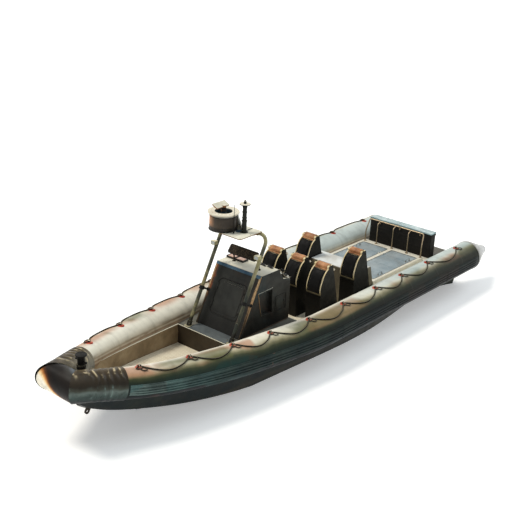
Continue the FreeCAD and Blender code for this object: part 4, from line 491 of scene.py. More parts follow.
def arch_paint():
    """Olive tube with a painted cream highlight where it faces up, worn to brown and blue-black in long
    patches on its legs.
    """
    paint = moulded("arch_paint", (128, 124, 88), (60, 54, 36), (178, 170, 130), 0.4, coat=0.1, dirt=0.35)
    leg = paint.at(Z, 2.36, 2.2)
    dark = paint.spots(4.2, 4.0, 0.42, 0.58, 0.82, warp=0.4, at=paint.stretched(1.0, 1.0, 0.45))
    paint.lay((44, 52, 52), dark, leg)
    rust = paint.spots(3.4, 4.0, 0.56, 0.66, 0.65, warp=0.6, at=paint.stretched(1.3, 1.3, 0.5))
    paint.lay((150, 98, 62), rust, leg)
    paint.lay((38, 44, 40), paint.at(Y, 0.2, 0.4), paint.at(Z, 1.95, 1.5), 0.8)
    paint.lay((26, 24, 20), paint.at(Z, 0.90, 0.84, 0.92))
    # painted cream highlight where the tube faces up
    paint.lay((226, 216, 176), paint.faces(Z, 0.75, 0.98, 0.5))
    return paint.done()


def scanner_paint():
    """Brown-black drum with a painted warm highlight on its starboard side, a cream rim, a blue-grey well
    whose blue is painted shade, and a white skirt.
    """
    paint = moulded("scanner_housing", (54, 47, 40), (22, 20, 18), (78, 68, 56), 0.4, coat=0.1)
    # painted warm highlight on the faces that look to starboard
    paint.lay((204, 144, 96), paint.faces(Y, 0.15, -0.7, 0.95), paint.at(Z, 2.48, 2.58))
    paint.lay((20, 18, 16), paint.at(Z, 2.54, 2.46, 0.8))
    radius = paint.node("VectorMath", {0: paint.stretched(1.0, 1.0, 0.0), 1: (DRUM.x, DRUM.y, 0.0)},
                        "Value", operation="DISTANCE")
    paint.lay((226, 226, 218), paint.level(radius, 0.238, 0.245), paint.at(Z, 2.73, 2.70))
    # painted shade, blue-grey, in the well inside the rim
    paint.lay((52, 72, 84), paint.level(radius, 0.156, 0.151), paint.at(Z, 2.752, 2.748))
    paint.lay((228, 220, 198), paint.at(Z, 2.728, 2.734), paint.level(radius, 0.149, 0.152))
    return paint.done()


def head_paint():
    """Cream plate with a brown edge on a black neck."""
    paint = moulded("head_paint", (216, 212, 192), (150, 134, 108), (236, 232, 212), 0.42)
    paint.lay((146, 98, 62), paint.faces(Z, 0.75, 0.5))
    paint.lay((22, 20, 18), paint.faces(Z, 0.4, 0.2), paint.at(Z, 2.84, 2.81))
    return paint.done()


def mast_paint():
    """Near black, with a cream top on the disc."""
    paint = moulded("mast_paint", (26, 27, 24), (10, 10, 9), (44, 46, 40), 0.42)
    paint.lay((226, 218, 196), paint.faces(Z, 0.8, 0.95), paint.at(Z, 2.90, 2.92))
    return paint.done()


def seat_paint():
    """Dark moulding with painted cream highlights on its tops and on its front edges above the ledge."""
    paint = moulded("seat_moulding", (20, 20, 16), (8, 8, 7), (31, 31, 25), 0.55)
    paint.lay((11, 10, 9), paint.at(Z, 1.35, 0.9, 0.6))
    paint.lay((22, 17, 13), paint.faces(X, -0.3, -0.8, 0.7))
    # painted cream highlights on the front edges above the ledge and on the tops
    front = paint.times(paint.faces(X, 0.25, 0.5), paint.at(Z, 0.955, 1.06))
    top = paint.times(paint.faces(Z, 0.6, 0.9), paint.at(Z, 1.2, 1.3))
    painted_highlight_cream = paint.mix(paint.spots(9.0, 4.0, 0.35, 0.7), (220, 200, 150), (242, 226, 186))
    paint.lay(painted_highlight_cream, paint.math("MAXIMUM", front, top))
    return paint.done()


def casing_paint():
    paint = moulded("casing_paint", (112, 104, 86), (48, 42, 34), (150, 140, 116))
    side = paint.tint
    paint.mottle((206, 208, 204), (222, 224, 220), 2.6, 4.0, 0.35, 0.7)
    paint.grime((150, 136, 112), 0.4, 2.2)
    paint.tint = paint.mix(paint.faces(Z, 0.7, 0.92), side, paint.tint)
    return paint.done()


def deflector_paint():
    """Hard dark hood, scuffed all over in short upright marks."""
    paint = Paint("deflector_hood", 0.66)
    marks = paint.noise(38.0, 5.0, 0.7, at=paint.stretched(1.0, 2.2, 0.35))
    paint.tint = paint.mix(paint.level(marks, 0.42, 0.66), (32, 28, 24), (96, 84, 66))
    paint.lay((24, 22, 20), paint.spots(3.0, 3.0, 0.45, 0.65, 0.5))
    paint.bump(marks, 0.002, 0.7)
    return paint.done()


def fabric(name, dark, light, rough, weave=420.0):
    """Coated upholstery cloth with a fine weave and soft creases."""
    paint = Paint(name, rough)
    threads = paint.times(paint.waves(weave, "Y"), paint.waves(weave, "Z"))
    paint.mottle(dark, light, 6.0, 5.0, 0.3, 0.75)
    paint.shade(0.85, 1.12, threads)
    paint.set({"Sheen Weight": 0.04})
    paint.vary_gloss(14.0, rough - 0.12, rough + 0.1)
    paint.bump(threads, 0.0004, 0.5)
    paint.bump(paint.noise(16.0, 4.0, warp=0.8), 0.003, 0.4)
    return paint


def rope_paint():
    """Black braided cord, with a painted pale highlight where it faces the sky."""
    paint = Paint("rope_fibre", 0.72, gloss=0.1)
    fibres = paint.noise(260.0, 3.0, 0.6)
    paint.tint = paint.mix(paint.level(fibres, 0.35, 0.7), (8, 8, 8), (30, 29, 26))
    # painted highlight where the cord faces up
    paint.lay((140, 132, 110), paint.faces(Z, 0.72, 0.99, 0.7))
    paint.bump(fibres, 0.0008, 0.6)
    return paint.done()


def metal(name, tint, rough, scratch=60.0):
    """Brushed metal, dull in places."""
    paint = Paint(name, rough, metal=1.0)
    brushed = paint.noise(scratch, 4.0, at=paint.stretched(1.0, 1.0, 5.0))
    paint.tint = paint.mix(paint.level(brushed, 0.3, 0.7), tint, [min(255, v + 26) for v in tint])
    paint.grime((50, 40, 30), 0.4, 7.0)
    paint.vary_gloss(20.0, rough - 0.08, rough + 0.14)
    paint.bump(brushed, 0.0003, 0.4)
    return paint


def glass_paint():
    """Ribbed glass of the lamps."""
    paint = Paint("lamp_glass", 0.12, coat=0.5)
    lines = paint.waves(60.0, "Y")
    paint.tint = paint.mix(paint.level(lines, 0.2, 0.8), (150, 156, 156), (205, 210, 208))
    paint.bump(lines, 0.0008, 0.5)
    return paint.done()


def screen_paint():
    paint = Paint("display_glass", 0.18, coat=0.4)
    paint.mottle((176, 136, 114), (206, 164, 140), 5.0, 4.0, 0.35, 0.7)
    paint.lay((34, 33, 30), paint.faces(Z, 0.9, 0.6))
    paint.grain(120.0, 3.0, 0.0004, 0.3)
    return paint.done()


def screen_glass():
    """A blank display: dark glass with a faint sheen and dust."""
    paint = Paint("screen_glass", 0.12, coat=0.6)
    paint.mottle((16, 20, 24), (70, 72, 70), 60.0, 4.0, 0.5, 0.8, 0.25)
    paint.vary_gloss(24.0, 0.08, 0.24)
    paint.grain(6.0, 2.0, 0.0002, 0.2)
    return paint.done()


# material name, tint, dirt, scuffs, roughness, grain, its depth
MOULDED = {
    "patch": ("patch_rubber", (172, 66, 48), (78, 30, 24), (206, 104, 80), 0.45, 90.0),
    "deck": ("deck_nonslip", (92, 92, 84), (46, 46, 42), (116, 114, 104), 0.6, 260.0, 0.0014),
    "dash": ("dash_panel_paint", (28, 28, 27), (12, 12, 12), (46, 46, 43), 0.45),
    "trim_black": ("black_fittings", (22, 22, 20), (10, 10, 9), (42, 41, 37), 0.42),
    "step": ("step_paint", (74, 80, 82), (38, 40, 40), (98, 104, 104), 0.55, 220.0, 0.0014),
    # lip: its blue is a painted shadow along the console's top front edge
    "lip": ("lip_moulding", (48, 76, 96), (24, 38, 50), (92, 120, 138), 0.4, 120.0),
    "white_part": ("white_fitting", (214, 212, 200), (120, 112, 96), (236, 234, 224), 0.4, 90.0),
    "rubber": ("black_rubber", (20, 20, 19), (9, 9, 9), (40, 39, 36), 0.6, 300.0, 0.0006),
    # a blue disc that is a painted shadow on the plate beside the mast's foot
    "blue_patch": ("blue_rubber_seat", (38, 58, 74), (18, 26, 34), (66, 90, 108), 0.5, 120.0),
    "locker": ("locker_paint", (22, 21, 19), (10, 10, 9), (34, 32, 29), 0.55),
    "locker_top": ("locker_lid_paint", (120, 148, 152), (70, 84, 86), (176, 200, 202), 0.46),
    "locker_rib": ("locker_rib_paint", (206, 222, 222), (130, 140, 138), (232, 242, 240), 0.42),
    "engine": ("engine_paint", (70, 74, 76), (32, 32, 32), (104, 108, 108), 0.45),
}
# the same, with one more colour: its tint, whether by place or by facing, and its levels
LAYERED = {
    # edge: orange trims whose warm tint is a painted highlight, darker lower down as the highlight fades
    "edge": (("edge_trim", (176, 138, 98), (84, 58, 40), (222, 190, 144), 0.42, 90.0),
             (30, 28, 24), Paint.at, (1.36, 1.02, 0.88)),
    "plate": (("plate_paint", (220, 216, 196), (156, 146, 122), (238, 234, 216), 0.5, 160.0, 0.0008, 0.0,
               0.25), (122, 88, 56), Paint.faces, (0.5, 0.1)),
    "lamp": (("lamp_housing", (150, 146, 104), (84, 78, 54), (196, 188, 144), 0.45),
             (236, 228, 198), Paint.faces, (0.6, 0.9)),
    # cone: pale grey moulding with painted shade, brown-grey, on the faces that look down
    "cone": (("cone_moulding", (178, 176, 172), (104, 92, 78), (206, 206, 204), 0.42, 160.0, 0.0008, 0.1,
              0.5), (52, 48, 44), Paint.faces, (0.1, -0.5, 0.85)),
}
METALS = {
    "steel": ("stainless_steel", (150, 140, 120), 0.32),
    "bronze": ("bronze_tube", (150, 132, 106), 0.36),
    "screw": ("screw_heads", (104, 96, 80), 0.36, 300.0),
    "dark_steel": ("dark_steel", (58, 52, 44), 0.42, 200.0),
    "jet": ("jet_casting", (120, 124, 126), 0.45),
    "jet_metal": ("bucket_casting", (138, 140, 140), 0.4),
}
CLOTHS = {
    "pad": ("seat_cloth", (5, 5, 4), (11, 10, 9), 0.75),
    "roll": ("roll_cloth", (140, 88, 54), (214, 156, 108), 0.4),
    "stitch": ("stitch_thread", (22, 17, 13), (46, 36, 26), 0.6, 1500.0),
}
# the record's slot for each finish that isn't one itself
# nodes that don't take the finish of their own slot
SPECIAL = {
    "tow_eyes": "dark_steel", "aft_deck": "frame", "guard_rail": "bronze", "bow_bollard": "rubber",
    "floodlights": "lamp", "arch_clamps": "rubber",
}


def all_materials():
    made = {"hull": hull_paint(), "collar": collar_paint(), "bow": bow_paint(), "chafe": sleeve_paint(),
            "strake": strake_paint(), "rope": rope_paint(), "liner": liner_paint(), "tread": tread_paint(),
            "lid": lid_paint(), "frame": frame_paint(), "console": console_paint(),
            "display": screen_paint(), "deflector": deflector_paint(), "arch": arch_paint(),
            "lens": glass_paint(), "scanner": scanner_paint(), "head": head_paint(), "mast": mast_paint(),
            "pod": seat_paint(), "screen": screen_glass(), "casing": casing_paint()}
    for recipe, rows in ((moulded, MOULDED), (metal, METALS), (fabric, CLOTHS)):
        for key, row in rows.items():
            made[key] = recipe(*row).done()
    for key, (row, tint, measure, levels) in LAYERED.items():
        paint = moulded(*row)
        paint.lay(tint, measure(paint, Z, *levels))
        made[key] = paint.done()
    return made


MATERIALS = all_materials()


def dress_nodes():
    """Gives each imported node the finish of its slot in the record."""
    slots = {}
    for part in frame["record"]["subparts"]:
        slots[part.get("node") or part.get("name")] = part.get("material_slot") or part.get("slot")
    for name, node in frame["nodes"].items():
        key = SPECIAL.get(name, slots.get(name))
        if node.type == "MESH" and key in MATERIALS:
            node.data.materials.clear()
            node.data.materials.append(MATERIALS[key])


# Pieces of mesh
def put(name, data, finish, body=BOAT, stands_for=()):
    """Puts a mesh in the scene as a smooth piece that rides a body."""
    data.materials.append(MATERIALS[finish])
    data.polygons.foreach_set("use_smooth", [True] * len(data.polygons))
    obj = add_object(name, data)
    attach(obj, body)
    if stands_for:
        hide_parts(*stands_for)
    return obj


def mesh_of(name, verts, faces):
    data = bpy.data.meshes.new(name)
    data.from_pydata([tuple(v) for v in verts], [], faces)
    data.update()
    return data


def mapped(data, corners):
    """Gives a mesh its map, by the corners of each face."""
    layer = data.uv_layers.new(name="UVMap")
    for polygon in data.polygons:
        for loop, corner in zip(polygon.loop_indices, corners[polygon.index]):
            layer.data[loop].uv = corner
    return data


def circle(count, start=0.0):
    """The cosine and sine of evenly spaced angles."""
    angles = [start + 2 * math.pi * k / count for k in range(count)]
    return [(math.cos(a), math.sin(a)) for a in angles]


def mirrored(p, side):
    return Vector((p.x, p.y * side, p.z))


def grid_faces(rows, columns, wrap):
    faces = []
    for i in range(rows - 1):
        for j in range(columns if wrap else columns - 1):
            k = (j + 1) % columns
            faces.append((i * columns + j, (i + 1) * columns + j, (i + 1) * columns + k, i * columns + k))
    return faces


def grid_map(along, sides):
    """The map of a grid round a tube, from how far along each of its rings lies."""
    corners = []
    for u0, u1 in zip(along, along[1:]):
        for j in range(sides):
            v0, v1 = j / sides, (j + 1) / sides
            corners.append(((u0, v0), (u1, v0), (u1, v1), (u0, v1)))
    return corners


def add_skin(verts, faces, rings, wrap=True, first=True, last=True, turn=False):
    """Adds a skin over rings of points to a mesh, with its ends closed; it may be turned inside out."""
    start, size = len(verts), len(rings[0])
    skin = [tuple(start + k for k in face) for face in grid_faces(len(rings), size, wrap)]
    for ring in rings:
        verts += ring
    if first:
        skin.append(tuple(range(start, start + size)))
    if last:
        skin.append(tuple(reversed(range(len(verts) - size, len(verts)))))
    faces += [face[::-1] for face in skin] if turn else skin


def frames_along(points):
    """A side and an up direction at each point of a line, without twist."""
    out = []
    side = None
    for i, point in enumerate(points):
        ahead = points[min(i + 1, len(points) - 1)] - points[max(i - 1, 0)]
        ahead.normalize()
        if side is None:
            side = ahead.cross(Vector((0, 0, 1)))
            if side.length < 0.1:
                side = ahead.cross(Vector((0, 1, 0)))
        side = (side - ahead * side.dot(ahead)).normalized()
        out.append((side.copy(), side.cross(ahead).normalized()))
    return out


def add_tube(verts, faces, points, radius, sides):
    """Adds a round tube along the points, with closed ends, to a mesh."""
    rings = [[point + (side * c + up * s) * radius for c, s in circle(sides)]
             for point, (side, up) in zip(points, frames_along(points))]
    add_skin(verts, faces, rings)


def curved(points, steps):
    """A smooth line near the points, as a quadratic spline draws it."""
    points = [Vector(p) for p in points]
    out = [points[0]]
    for i in range(1, len(points) - 1):
        a = points[0] if i == 1 else (points[i - 1] + points[i]) / 2
        b = points[i]
        c = points[-1] if i == len(points) - 2 else (points[i] + points[i + 1]) / 2
        for k in range(1, steps + 1):
            t = k / steps
            out.append(a * (1 - t) ** 2 + b * 2 * t * (1 - t) + c * t * t)
    return out


def evenly(points, gap):
    """The same line with its points spaced evenly."""
    out = [points[0]]
    left = gap
    for a, b in zip(points, points[1:]):
        length = (b - a).length
        done = 0.0
        while length - done >= left:
            done += left
            out.append(a.lerp(b, done / length))
            left = gap
        left -= length - done
    return out


# The collar's centreline, as the part draws it but for a narrower bow, as in the photograph
TUBE_R, TUBE_Y, TUBE_Z = 0.303, 1.159, 0.644
BEND_X = 0.266
BOW_X, BOW_Y, BOW_Z, BOW_R = 5.115, 0.215, 1.0, 0.225
# share of the way from the bend to the bow, then of the change in width, height and radius
COLLAR_SHARES = ((0.0, 0.0, 0.0, 0.0), (0.276, 0.134, 0.063, 0.05), (0.531, 0.305, 0.25, 0.27),
                 (0.765, 0.564, 0.524, 0.65), (1.0, 1.0, 1.0, 1.0))
TUBE_SIDES, TUBE_STEP = 80, 0.05
BOW_ROWS = 24
MITRE_STEPS, MITRE_GAP, MITRE_MAP = 4, 0.004, 0.1
CONE_X = -4.781
CONE_LENGTH, CONE_DROOP = 0.70, 0.03
CONE_SIDES, CONE_STEP = 72, 0.04
CONE_SHAPE = ((0.0, 1.0), (0.05, 0.985), (0.1, 0.94), (0.38, 0.70), (0.66, 0.47), (0.94, 0.27),
              (0.975, 0.22), (1.0, 0.12))
CONE_LAP, CONE_LAP_HEIGHT, CONE_TIP, CONE_TIP_R = 0.044, 0.006, 0.006, 0.004
SLEEVE_X, SLEEVE_LENGTH = 4.43, 0.83
SLEEVE_OUT, SLEEVE_STEP, SLEEVE_SIDES = 0.009, 0.008, 120
SLEEVE_FOLDS, FOLD_HEIGHT, FOLD_SPAN, FOLD_FADE = 9.0, 0.0085, 0.012, 0.05
STRAKE_START, STRAKE_END, STRAKE_STEPS = -4.70, 4.40, 170
STRAKE_LOW, STRAKE_HIGH, STRAKE_RIBS = -22.0, 18.0, 4
STRAKE_BASE, STRAKE_RIB, STRAKE_SHARP = 0.012, 0.015, 35.0
PATCH_XS = (-4.216, -3.063, -2.118, -1.225, -0.206, 0.764, 1.674, 2.501, 3.345, 4.205)
# share of a bay, degrees down from the tube's top and gap to its skin
LINE_ROUTE = ((0.03, 2.0, 0.017), (0.2, 24.0, 0.014), (0.5, 40.0, 0.015), (0.8, 26.0, 0.014),
              (0.97, 3.0, 0.017))
LINE_RADIUS, LINE_STEP, LINE_LAY = 0.0130, 0.010, 0.05


def eased(column, t):
    """A smooth curve through one column of the collar's shares."""
    last = len(COLLAR_SHARES) - 1
    i = 0
    while i < last - 1 and t > COLLAR_SHARES[i + 1][0]:
        i += 1

    def chord(k):
        a, b = COLLAR_SHARES[k], COLLAR_SHARES[k + 1]
        return (b[column] - a[column]) / (b[0] - a[0])

    def slope(k):
        if k == 0:
            return 0.0
        if k == last:
            return chord(last - 1)
        return (chord(k - 1) + chord(k)) / 2

    a, b = COLLAR_SHARES[i], COLLAR_SHARES[i + 1]
    width = b[0] - a[0]
    s = (t - a[0]) / width
    return ((1 + 2 * s) * (1 - s) ** 2 * a[column] + s * (1 - s) ** 2 * width * slope(i)
            + s * s * (3 - 2 * s) * b[column] - s * s * (1 - s) * width * slope(i + 1))


def collar(x):
    """Half width, height and radius of the collar at x."""
    t = min(1.0, max(0.0, (x - BEND_X) / (BOW_X - BEND_X)))
    return (TUBE_Y - (TUBE_Y - BOW_Y) * eased(1, t), TUBE_Z + (BOW_Z - TUBE_Z) * eased(2, t),
            TUBE_R - (TUBE_R - BOW_R) * eased(3, t))


def heading(x, step=0.005):
    high = min(x + step, BOW_X)
    a, b = collar(x - step), collar(high)
    return Vector((high - x + step, b[0] - a[0], b[1] - a[1])).normalized()


def collar_point(x, angle, out=0.0):
    """A point round the port tube, by its angle above the outboard side and its gap to the skin."""
    y, z, r = collar(x)
    ahead = heading(x)
    outboard = Vector((0, 0, 1)).cross(ahead).normalized()
    upward = ahead.cross(outboard)
    a = math.radians(angle)
    return Vector((x, y, z)) + (outboard * math.cos(a) + upward * math.sin(a)) * (r + out)


def mitre_normal():
    ahead = heading(BOW_X)
    return (Vector((ahead.x, ahead.y, 0)).normalized() + Vector((0, -1, 0))).normalized()


def collar_skin(name, side, start_x, grow, step, sides, finish, stands_for, ripple=None):
    """A skin round one side tube from a station forward to the mitre at the bow."""
    count = max(2, round((BOW_X - start_x) / step) + 1)
    corner = Vector((BOW_X, BOW_Y, BOW_Z))
    normal, ahead = mitre_normal(), heading(BOW_X)
    angles = [-90.0 + 360.0 * j / sides for j in range(sides)]
    ripple = ripple or (lambda along, angle: 0.0)
    rings = []
    along = 0.0
    before = None
    for i in range(count):
        x = start_x + (BOW_X - start_x) * i / (count - 1)
        centre = Vector((x, *collar(x)[:2]))
        along += (centre - before).length if before else 0.0
        before = centre
        ring = [collar_point(x, angle, grow + ripple(along, angle)) for angle in angles]
        if max((p - corner).dot(normal) for p in ring) < -MITRE_GAP:
            rings.append((along, ring))
    along, base = rings[-1]
    last = [p + ahead * (-(p - corner).dot(normal) / ahead.dot(normal)) for p in base]
    for k in range(1, MITRE_STEPS + 1):
        t = k / MITRE_STEPS
        rings.append((along + MITRE_MAP * t, [a.lerp(b, t) for a, b in zip(base, last)]))
    verts = [mirrored(p, side) for _, ring in rings for p in ring]
    faces = grid_faces(len(rings), sides, True)
    corners = grid_map([start_x / MAP_LENGTH + 0.5 + along / MAP_LENGTH for along, _ in rings], sides)
    if side > 0:
        faces = [face[::-1] for face in faces]
        corners = [corner[::-1] for corner in corners]
    data = mapped(mesh_of(name, verts, faces), corners)
    folds = [0.5 + ripple(along, angle) / FOLD_SPAN for along, _ in rings for angle in angles]
    data.attributes.new("fold", "FLOAT", "POINT").data.foreach_set("value", folds)
    put(name, data, finish, stands_for=stands_for)


def build_collar():
    for side, word in SIDES:
        collar_skin("tube_skin_" + word, side, CONE_X, 0.0, TUBE_STEP, TUBE_SIDES, "collar",
                    ("collar_" + word,))
    # the tube across the bow
    normal = mitre_normal()
    verts = []
    for i in range(BOW_ROWS + 1):
        for c, s in circle(TUBE_SIDES, -math.pi / 2):
            end_y = BOW_Y - BOW_R * c * normal.x / normal.y
            verts.append((BOW_X + BOW_R * c, end_y * (-1 + 2 * i / BOW_ROWS), BOW_Z + BOW_R * s))
    data = mesh_of("bow_skin", verts, grid_faces(BOW_ROWS + 1, TUBE_SIDES, True))
    corners = grid_map([i / BOW_ROWS for i in range(BOW_ROWS + 1)], TUBE_SIDES)
    put("bow_skin", mapped(data, corners), "bow", stands_for=("collar_bow",))


def sleeve_ripple(along, angle):
    """Wrinkles across the sleeve, stronger on top, fading at both ends."""
    end = min(1.0, max(0.0, along / FOLD_FADE)) * min(1.0, max(0.0, (SLEEVE_LENGTH - along) / FOLD_FADE))
    wander = noise.noise(Vector((along * 2.0, angle * 0.018, 3.0))) * 0.9
    wave = math.cos(2 * math.pi * (along / SLEEVE_LENGTH * SLEEVE_FOLDS + wander))
    shape = 0.5 + 0.5 * noise.noise(Vector((along * 5.0, angle * 0.03, 9.0)))
    top = 0.45 + 0.55 * max(0.0, math.sin(math.radians(angle)))
    return FOLD_HEIGHT * wave * shape * top * end


def build_sleeves():
    for side, word in SIDES:
        names = ("chafe_sleeves",) if side > 0 else ()
        collar_skin("sleeve_" + word, side, SLEEVE_X, SLEEVE_OUT, SLEEVE_STEP, SLEEVE_SIDES, "chafe", names,
                    sleeve_ripple)


def build_cones():
    """Blunt cones on the after ends of the tubes, drooping a little, on a narrow lap ring."""
    profile = [(-CONE_LAP, TUBE_R + 0.001), (-CONE_LAP, TUBE_R + CONE_LAP_HEIGHT),
               (0.0, TUBE_R + CONE_LAP_HEIGHT), (0.004, TUBE_R)]
    for (a, r), (b, q) in zip(CONE_SHAPE, CONE_SHAPE[1:]):
        steps = max(1, round((b - a) / CONE_STEP))
        profile += [(CONE_LENGTH * (a + (b - a) * k / steps), TUBE_R * (r + (q - r) * k / steps))
                    for k in range(1, steps + 1)]
    profile.append((CONE_LENGTH + CONE_TIP, CONE_TIP_R))
    verts, faces = [], []
    for side, _ in SIDES:
        rings = []
        for along, radius in profile:
            z = TUBE_Z - CONE_DROOP * max(0.0, along) / CONE_LENGTH
            rings.append([(CONE_X - along, side * (TUBE_Y + radius * c), z + radius * s)
                          for c, s in circle(CONE_SIDES)])
        add_skin(verts, faces, rings, first=False, last=False, turn=side < 0)
        tip = tuple(range(len(verts) - CONE_SIDES, len(verts)))
        faces.append(tip if side > 0 else tip[::-1])
    put("tube_cones", mesh_of("tube_cones", verts, faces), "cone", stands_for=("cones",))


def build_strakes():
    """Ribbed rubbing strakes along the outer flanks."""
    pitch = (STRAKE_HIGH - STRAKE_LOW) / (STRAKE_RIBS * 2 + 1)
    outline = [(STRAKE_LOW - 0.4, 0.0), (STRAKE_LOW, STRAKE_BASE)]
    for k in range(STRAKE_RIBS):
        for share, height in ((-0.12, 0.0), (0.12, STRAKE_RIB), (0.88, STRAKE_RIB), (1.12, 0.0)):
            outline.append((STRAKE_LOW + pitch * (2 * k + 1 + share), STRAKE_BASE + height))
    outline += [(STRAKE_HIGH, STRAKE_BASE), (STRAKE_HIGH + 0.4, 0.0)]
    verts, faces = [], []
    for side, _ in SIDES:
        rings = []
        for i in range(STRAKE_STEPS + 1):
            x = STRAKE_START + (STRAKE_END - STRAKE_START) * i / STRAKE_STEPS
            end = min(1.0, 0.15 + min(i, STRAKE_STEPS - i) / 3)
            rings.append([mirrored(collar_point(x, angle, out * end), side) for angle, out in outline])
        add_skin(verts, faces, rings, wrap=False, turn=side > 0)
    strakes = put("flank_strakes", mesh_of("flank_strakes", verts, faces), "strake",
                  stands_for=("rubbing_strakes",))
    strakes.data.set_sharp_from_angle(angle=math.radians(STRAKE_SHARP))


def build_lines():
    """The grab lines, each a rope of three strands twisted round its route."""
    for side, word in SIDES:
        route = [collar_point(PATCH_XS[-1], 90.0, 0.016)]
        for aft, fore in reversed(list(zip(PATCH_XS, PATCH_XS[1:]))):
            for share, droop, gap in LINE_ROUTE:
                route.append(collar_point(fore + (aft - fore) * share, 90.0 - droop, gap))
        route.append(collar_point(PATCH_XS[0], 90.0, 0.016))
        line = evenly([mirrored(p, side) for p in curved(route, 12)], LINE_STEP)
        frames = frames_along(line)
        along = [0.0]
        for a, b in zip(line, line[1:]):
            along.append(along[-1] + (b - a).length)
        verts, faces = [], []
        for strand in range(3):
            path = []
            for point, (out, up), s in zip(line, frames, along):
                a = 2 * math.pi * (s / LINE_LAY + strand / 3)
                path.append(point + (out * math.cos(a) + up * math.sin(a)) * LINE_RADIUS * 0.5)
            add_tube(verts, faces, path, LINE_RADIUS * 0.53, 6)
        name = "grab_line_" + word
        put(name, mesh_of(name, verts, faces), "rope", stands_for=("grab_lines",) if side > 0 else ())


# Small forms gathered into one mesh
SHARP_ANGLE = 38.0


def place(at, up=(0, 0, 1), ahead=(1, 0, 0)):
    """A frame at a point: z along up, x as near to ahead as it can be."""
    up = Vector(up).normalized()
    side = up.cross(Vector(ahead)).normalized()
    turn = Matrix((side.cross(up), side, up)).transposed().to_4x4()
    return Matrix.Translation(Vector(at)) @ turn


class Build:
    """Bevelled blocks, turned forms and bars joined into one piece."""

    def __init__(self):
        self.mesh = bmesh.new()

    def add(self, part, place):
        bmesh.ops.transform(part, matrix=place, verts=part.verts)
        data = bpy.data.meshes.new("part")
        part.to_mesh(data)
        part.free()
        self.mesh.from_mesh(data)
        bpy.data.meshes.remove(data)

    def block(self, place, size, edge=0.002, steps=2):
        """A block with rounded edges, its middle at the place."""
        part = bmesh.new()
        made = bmesh.ops.create_cube(part, size=1.0)["verts"]
        bmesh.ops.scale(part, vec=size, verts=made)
        bmesh.ops.bevel(part, geom=part.edges[:], offset=edge, segments=steps, profile=0.6, affect="EDGES")
        self.add(part, place)

    def turned(self, place, profile, steps):
        """A form turned round the place's z axis from pairs of radius and height."""
        part = bmesh.new()
        rings = []
        for radius, height in profile:
            around = circle(steps) if radius else ((1, 0),)
            rings.append([part.verts.new((radius * c, radius * s, height)) for c, s in around])
        for low, high in zip(rings, rings[1:]):
            for k in range(steps):
                n = (k + 1) % steps
                corners = [low[k % len(low)], low[n % len(low)], high[n % len(high)], high[k % len(high)]]
                kept = list(dict.fromkeys(corners))
                if len(kept) > 2:
                    part.faces.new(kept)
        for ring in (rings[0], rings[-1]):
            if len(ring) > 2:
                part.faces.new(ring)
        bmesh.ops.recalc_face_normals(part, faces=part.faces[:])
        self.add(part, place)

    def button(self, place, radius, edge, top, height, steps=24, foot=-0.001):
        """A disc with a chamfered rim."""
        self.turned(place, ((radius, foot), (radius, edge), (top, height), (0, height)), steps)

    def hoop(self, place, inner, outer, half, flat, steps):
        """A narrow band round a tube."""
        self.turned(place, ((inner, -half), (outer, -flat), (outer, flat), (inner, half)), steps)

    def bar(self, points, radius, sides=8):
        """A round bar along the points."""
        verts, faces = [], []
        add_tube(verts, faces, [Vector(p) for p in points], radius, sides)
        data = mesh_of("bar", verts, faces)
        self.mesh.from_mesh(data)
        bpy.data.meshes.remove(data)

    def bent_bar(self, points, radius, bend):
        """A round bar with rounded corners."""
        line = [Vector(points[0])]
        for a, b, c in zip(points, points[1:], points[2:]):
            a, b, c = Vector(a), Vector(b), Vector(c)
            low = b + (a - b).normalized() * bend
            high = b + (c - b).normalized() * bend
            line += [low.lerp(b, k / 6).lerp(b.lerp(high, k / 6), k / 6) for k in range(7)]
        line.append(Vector(points[-1]))
        self.bar(line, radius, 14)

    def screw(self, place, radius):
        """A domed screw head."""
        self.turned(place, ((radius, -0.001), (radius, radius * 0.2), (radius * 0.75, radius * 0.48),
                            (radius * 0.3, radius * 0.6), (0, radius * 0.6)), 10)

    def screws(self, loop, gap, up, radius):
        """Screw heads evenly along a closed line."""
        for p in evenly(loop, gap)[:-1]:
            self.screw(place(p, up), radius)

    def latch(self, spot, out, ahead, radius, length):
        """A quarter-turn latch: a disc with a bar across it."""
        self.button(place(spot, out), radius, 0.004, radius - 0.004, 0.007)
        self.block(place(spot + out * 0.010, out, ahead), (length, 0.009, 0.009), 0.003)

    def done(self, name, finish, body=BOAT, stands_for=()):
        data = bpy.data.meshes.new(name)
        self.mesh.to_mesh(data)
        self.mesh.free()
        put(name, data, finish, body, stands_for)
        data.set_sharp_from_angle(angle=math.radians(SHARP_ANGLE))


# Patches, rings and lashings under the grab lines
PATCH_R, PATCH_ROWS, PATCH_SIDES, PATCH_RIM = 0.062, 7, 36, 0.72
RING_R = 0.03
# rise above the tube, width, length, thickness and rounding
TAB_LAYERS = ((0.002, 0.046, 0.115, 0.007, 0.003), (0.007, 0.046 * 0.62, 0.0575, 0.008, 0.0035))
LASH_DROP = 0.105


def patch_disc(mesh, x, side, radius, thick, squash):
    """A round patch that follows the tube, thinner at its rim."""
    r = collar(x)[2]
    rings = []
    for i in range(PATCH_ROWS + 1):
        share = i / PATCH_ROWS
        height = thick * (1 - max(0.0, (share - PATCH_RIM) / (1 - PATCH_RIM)) ** 2)
        ring = []
        for c, s in circle(PATCH_SIDES):
            angle = 90.0 + math.degrees(radius * share * s / r)
            p = collar_point(x + radius * squash * share * c, angle, height)
            ring.append(mesh.verts.new(mirrored(p, side)))
        rings.append(ring)
    for low, high in zip(rings, rings[1:]):
        for k in range(PATCH_SIDES):
            n = (k + 1) % PATCH_SIDES
            mesh.faces.new((low[k], low[n], high[n], high[k]))
    mesh.faces.new(rings[0])


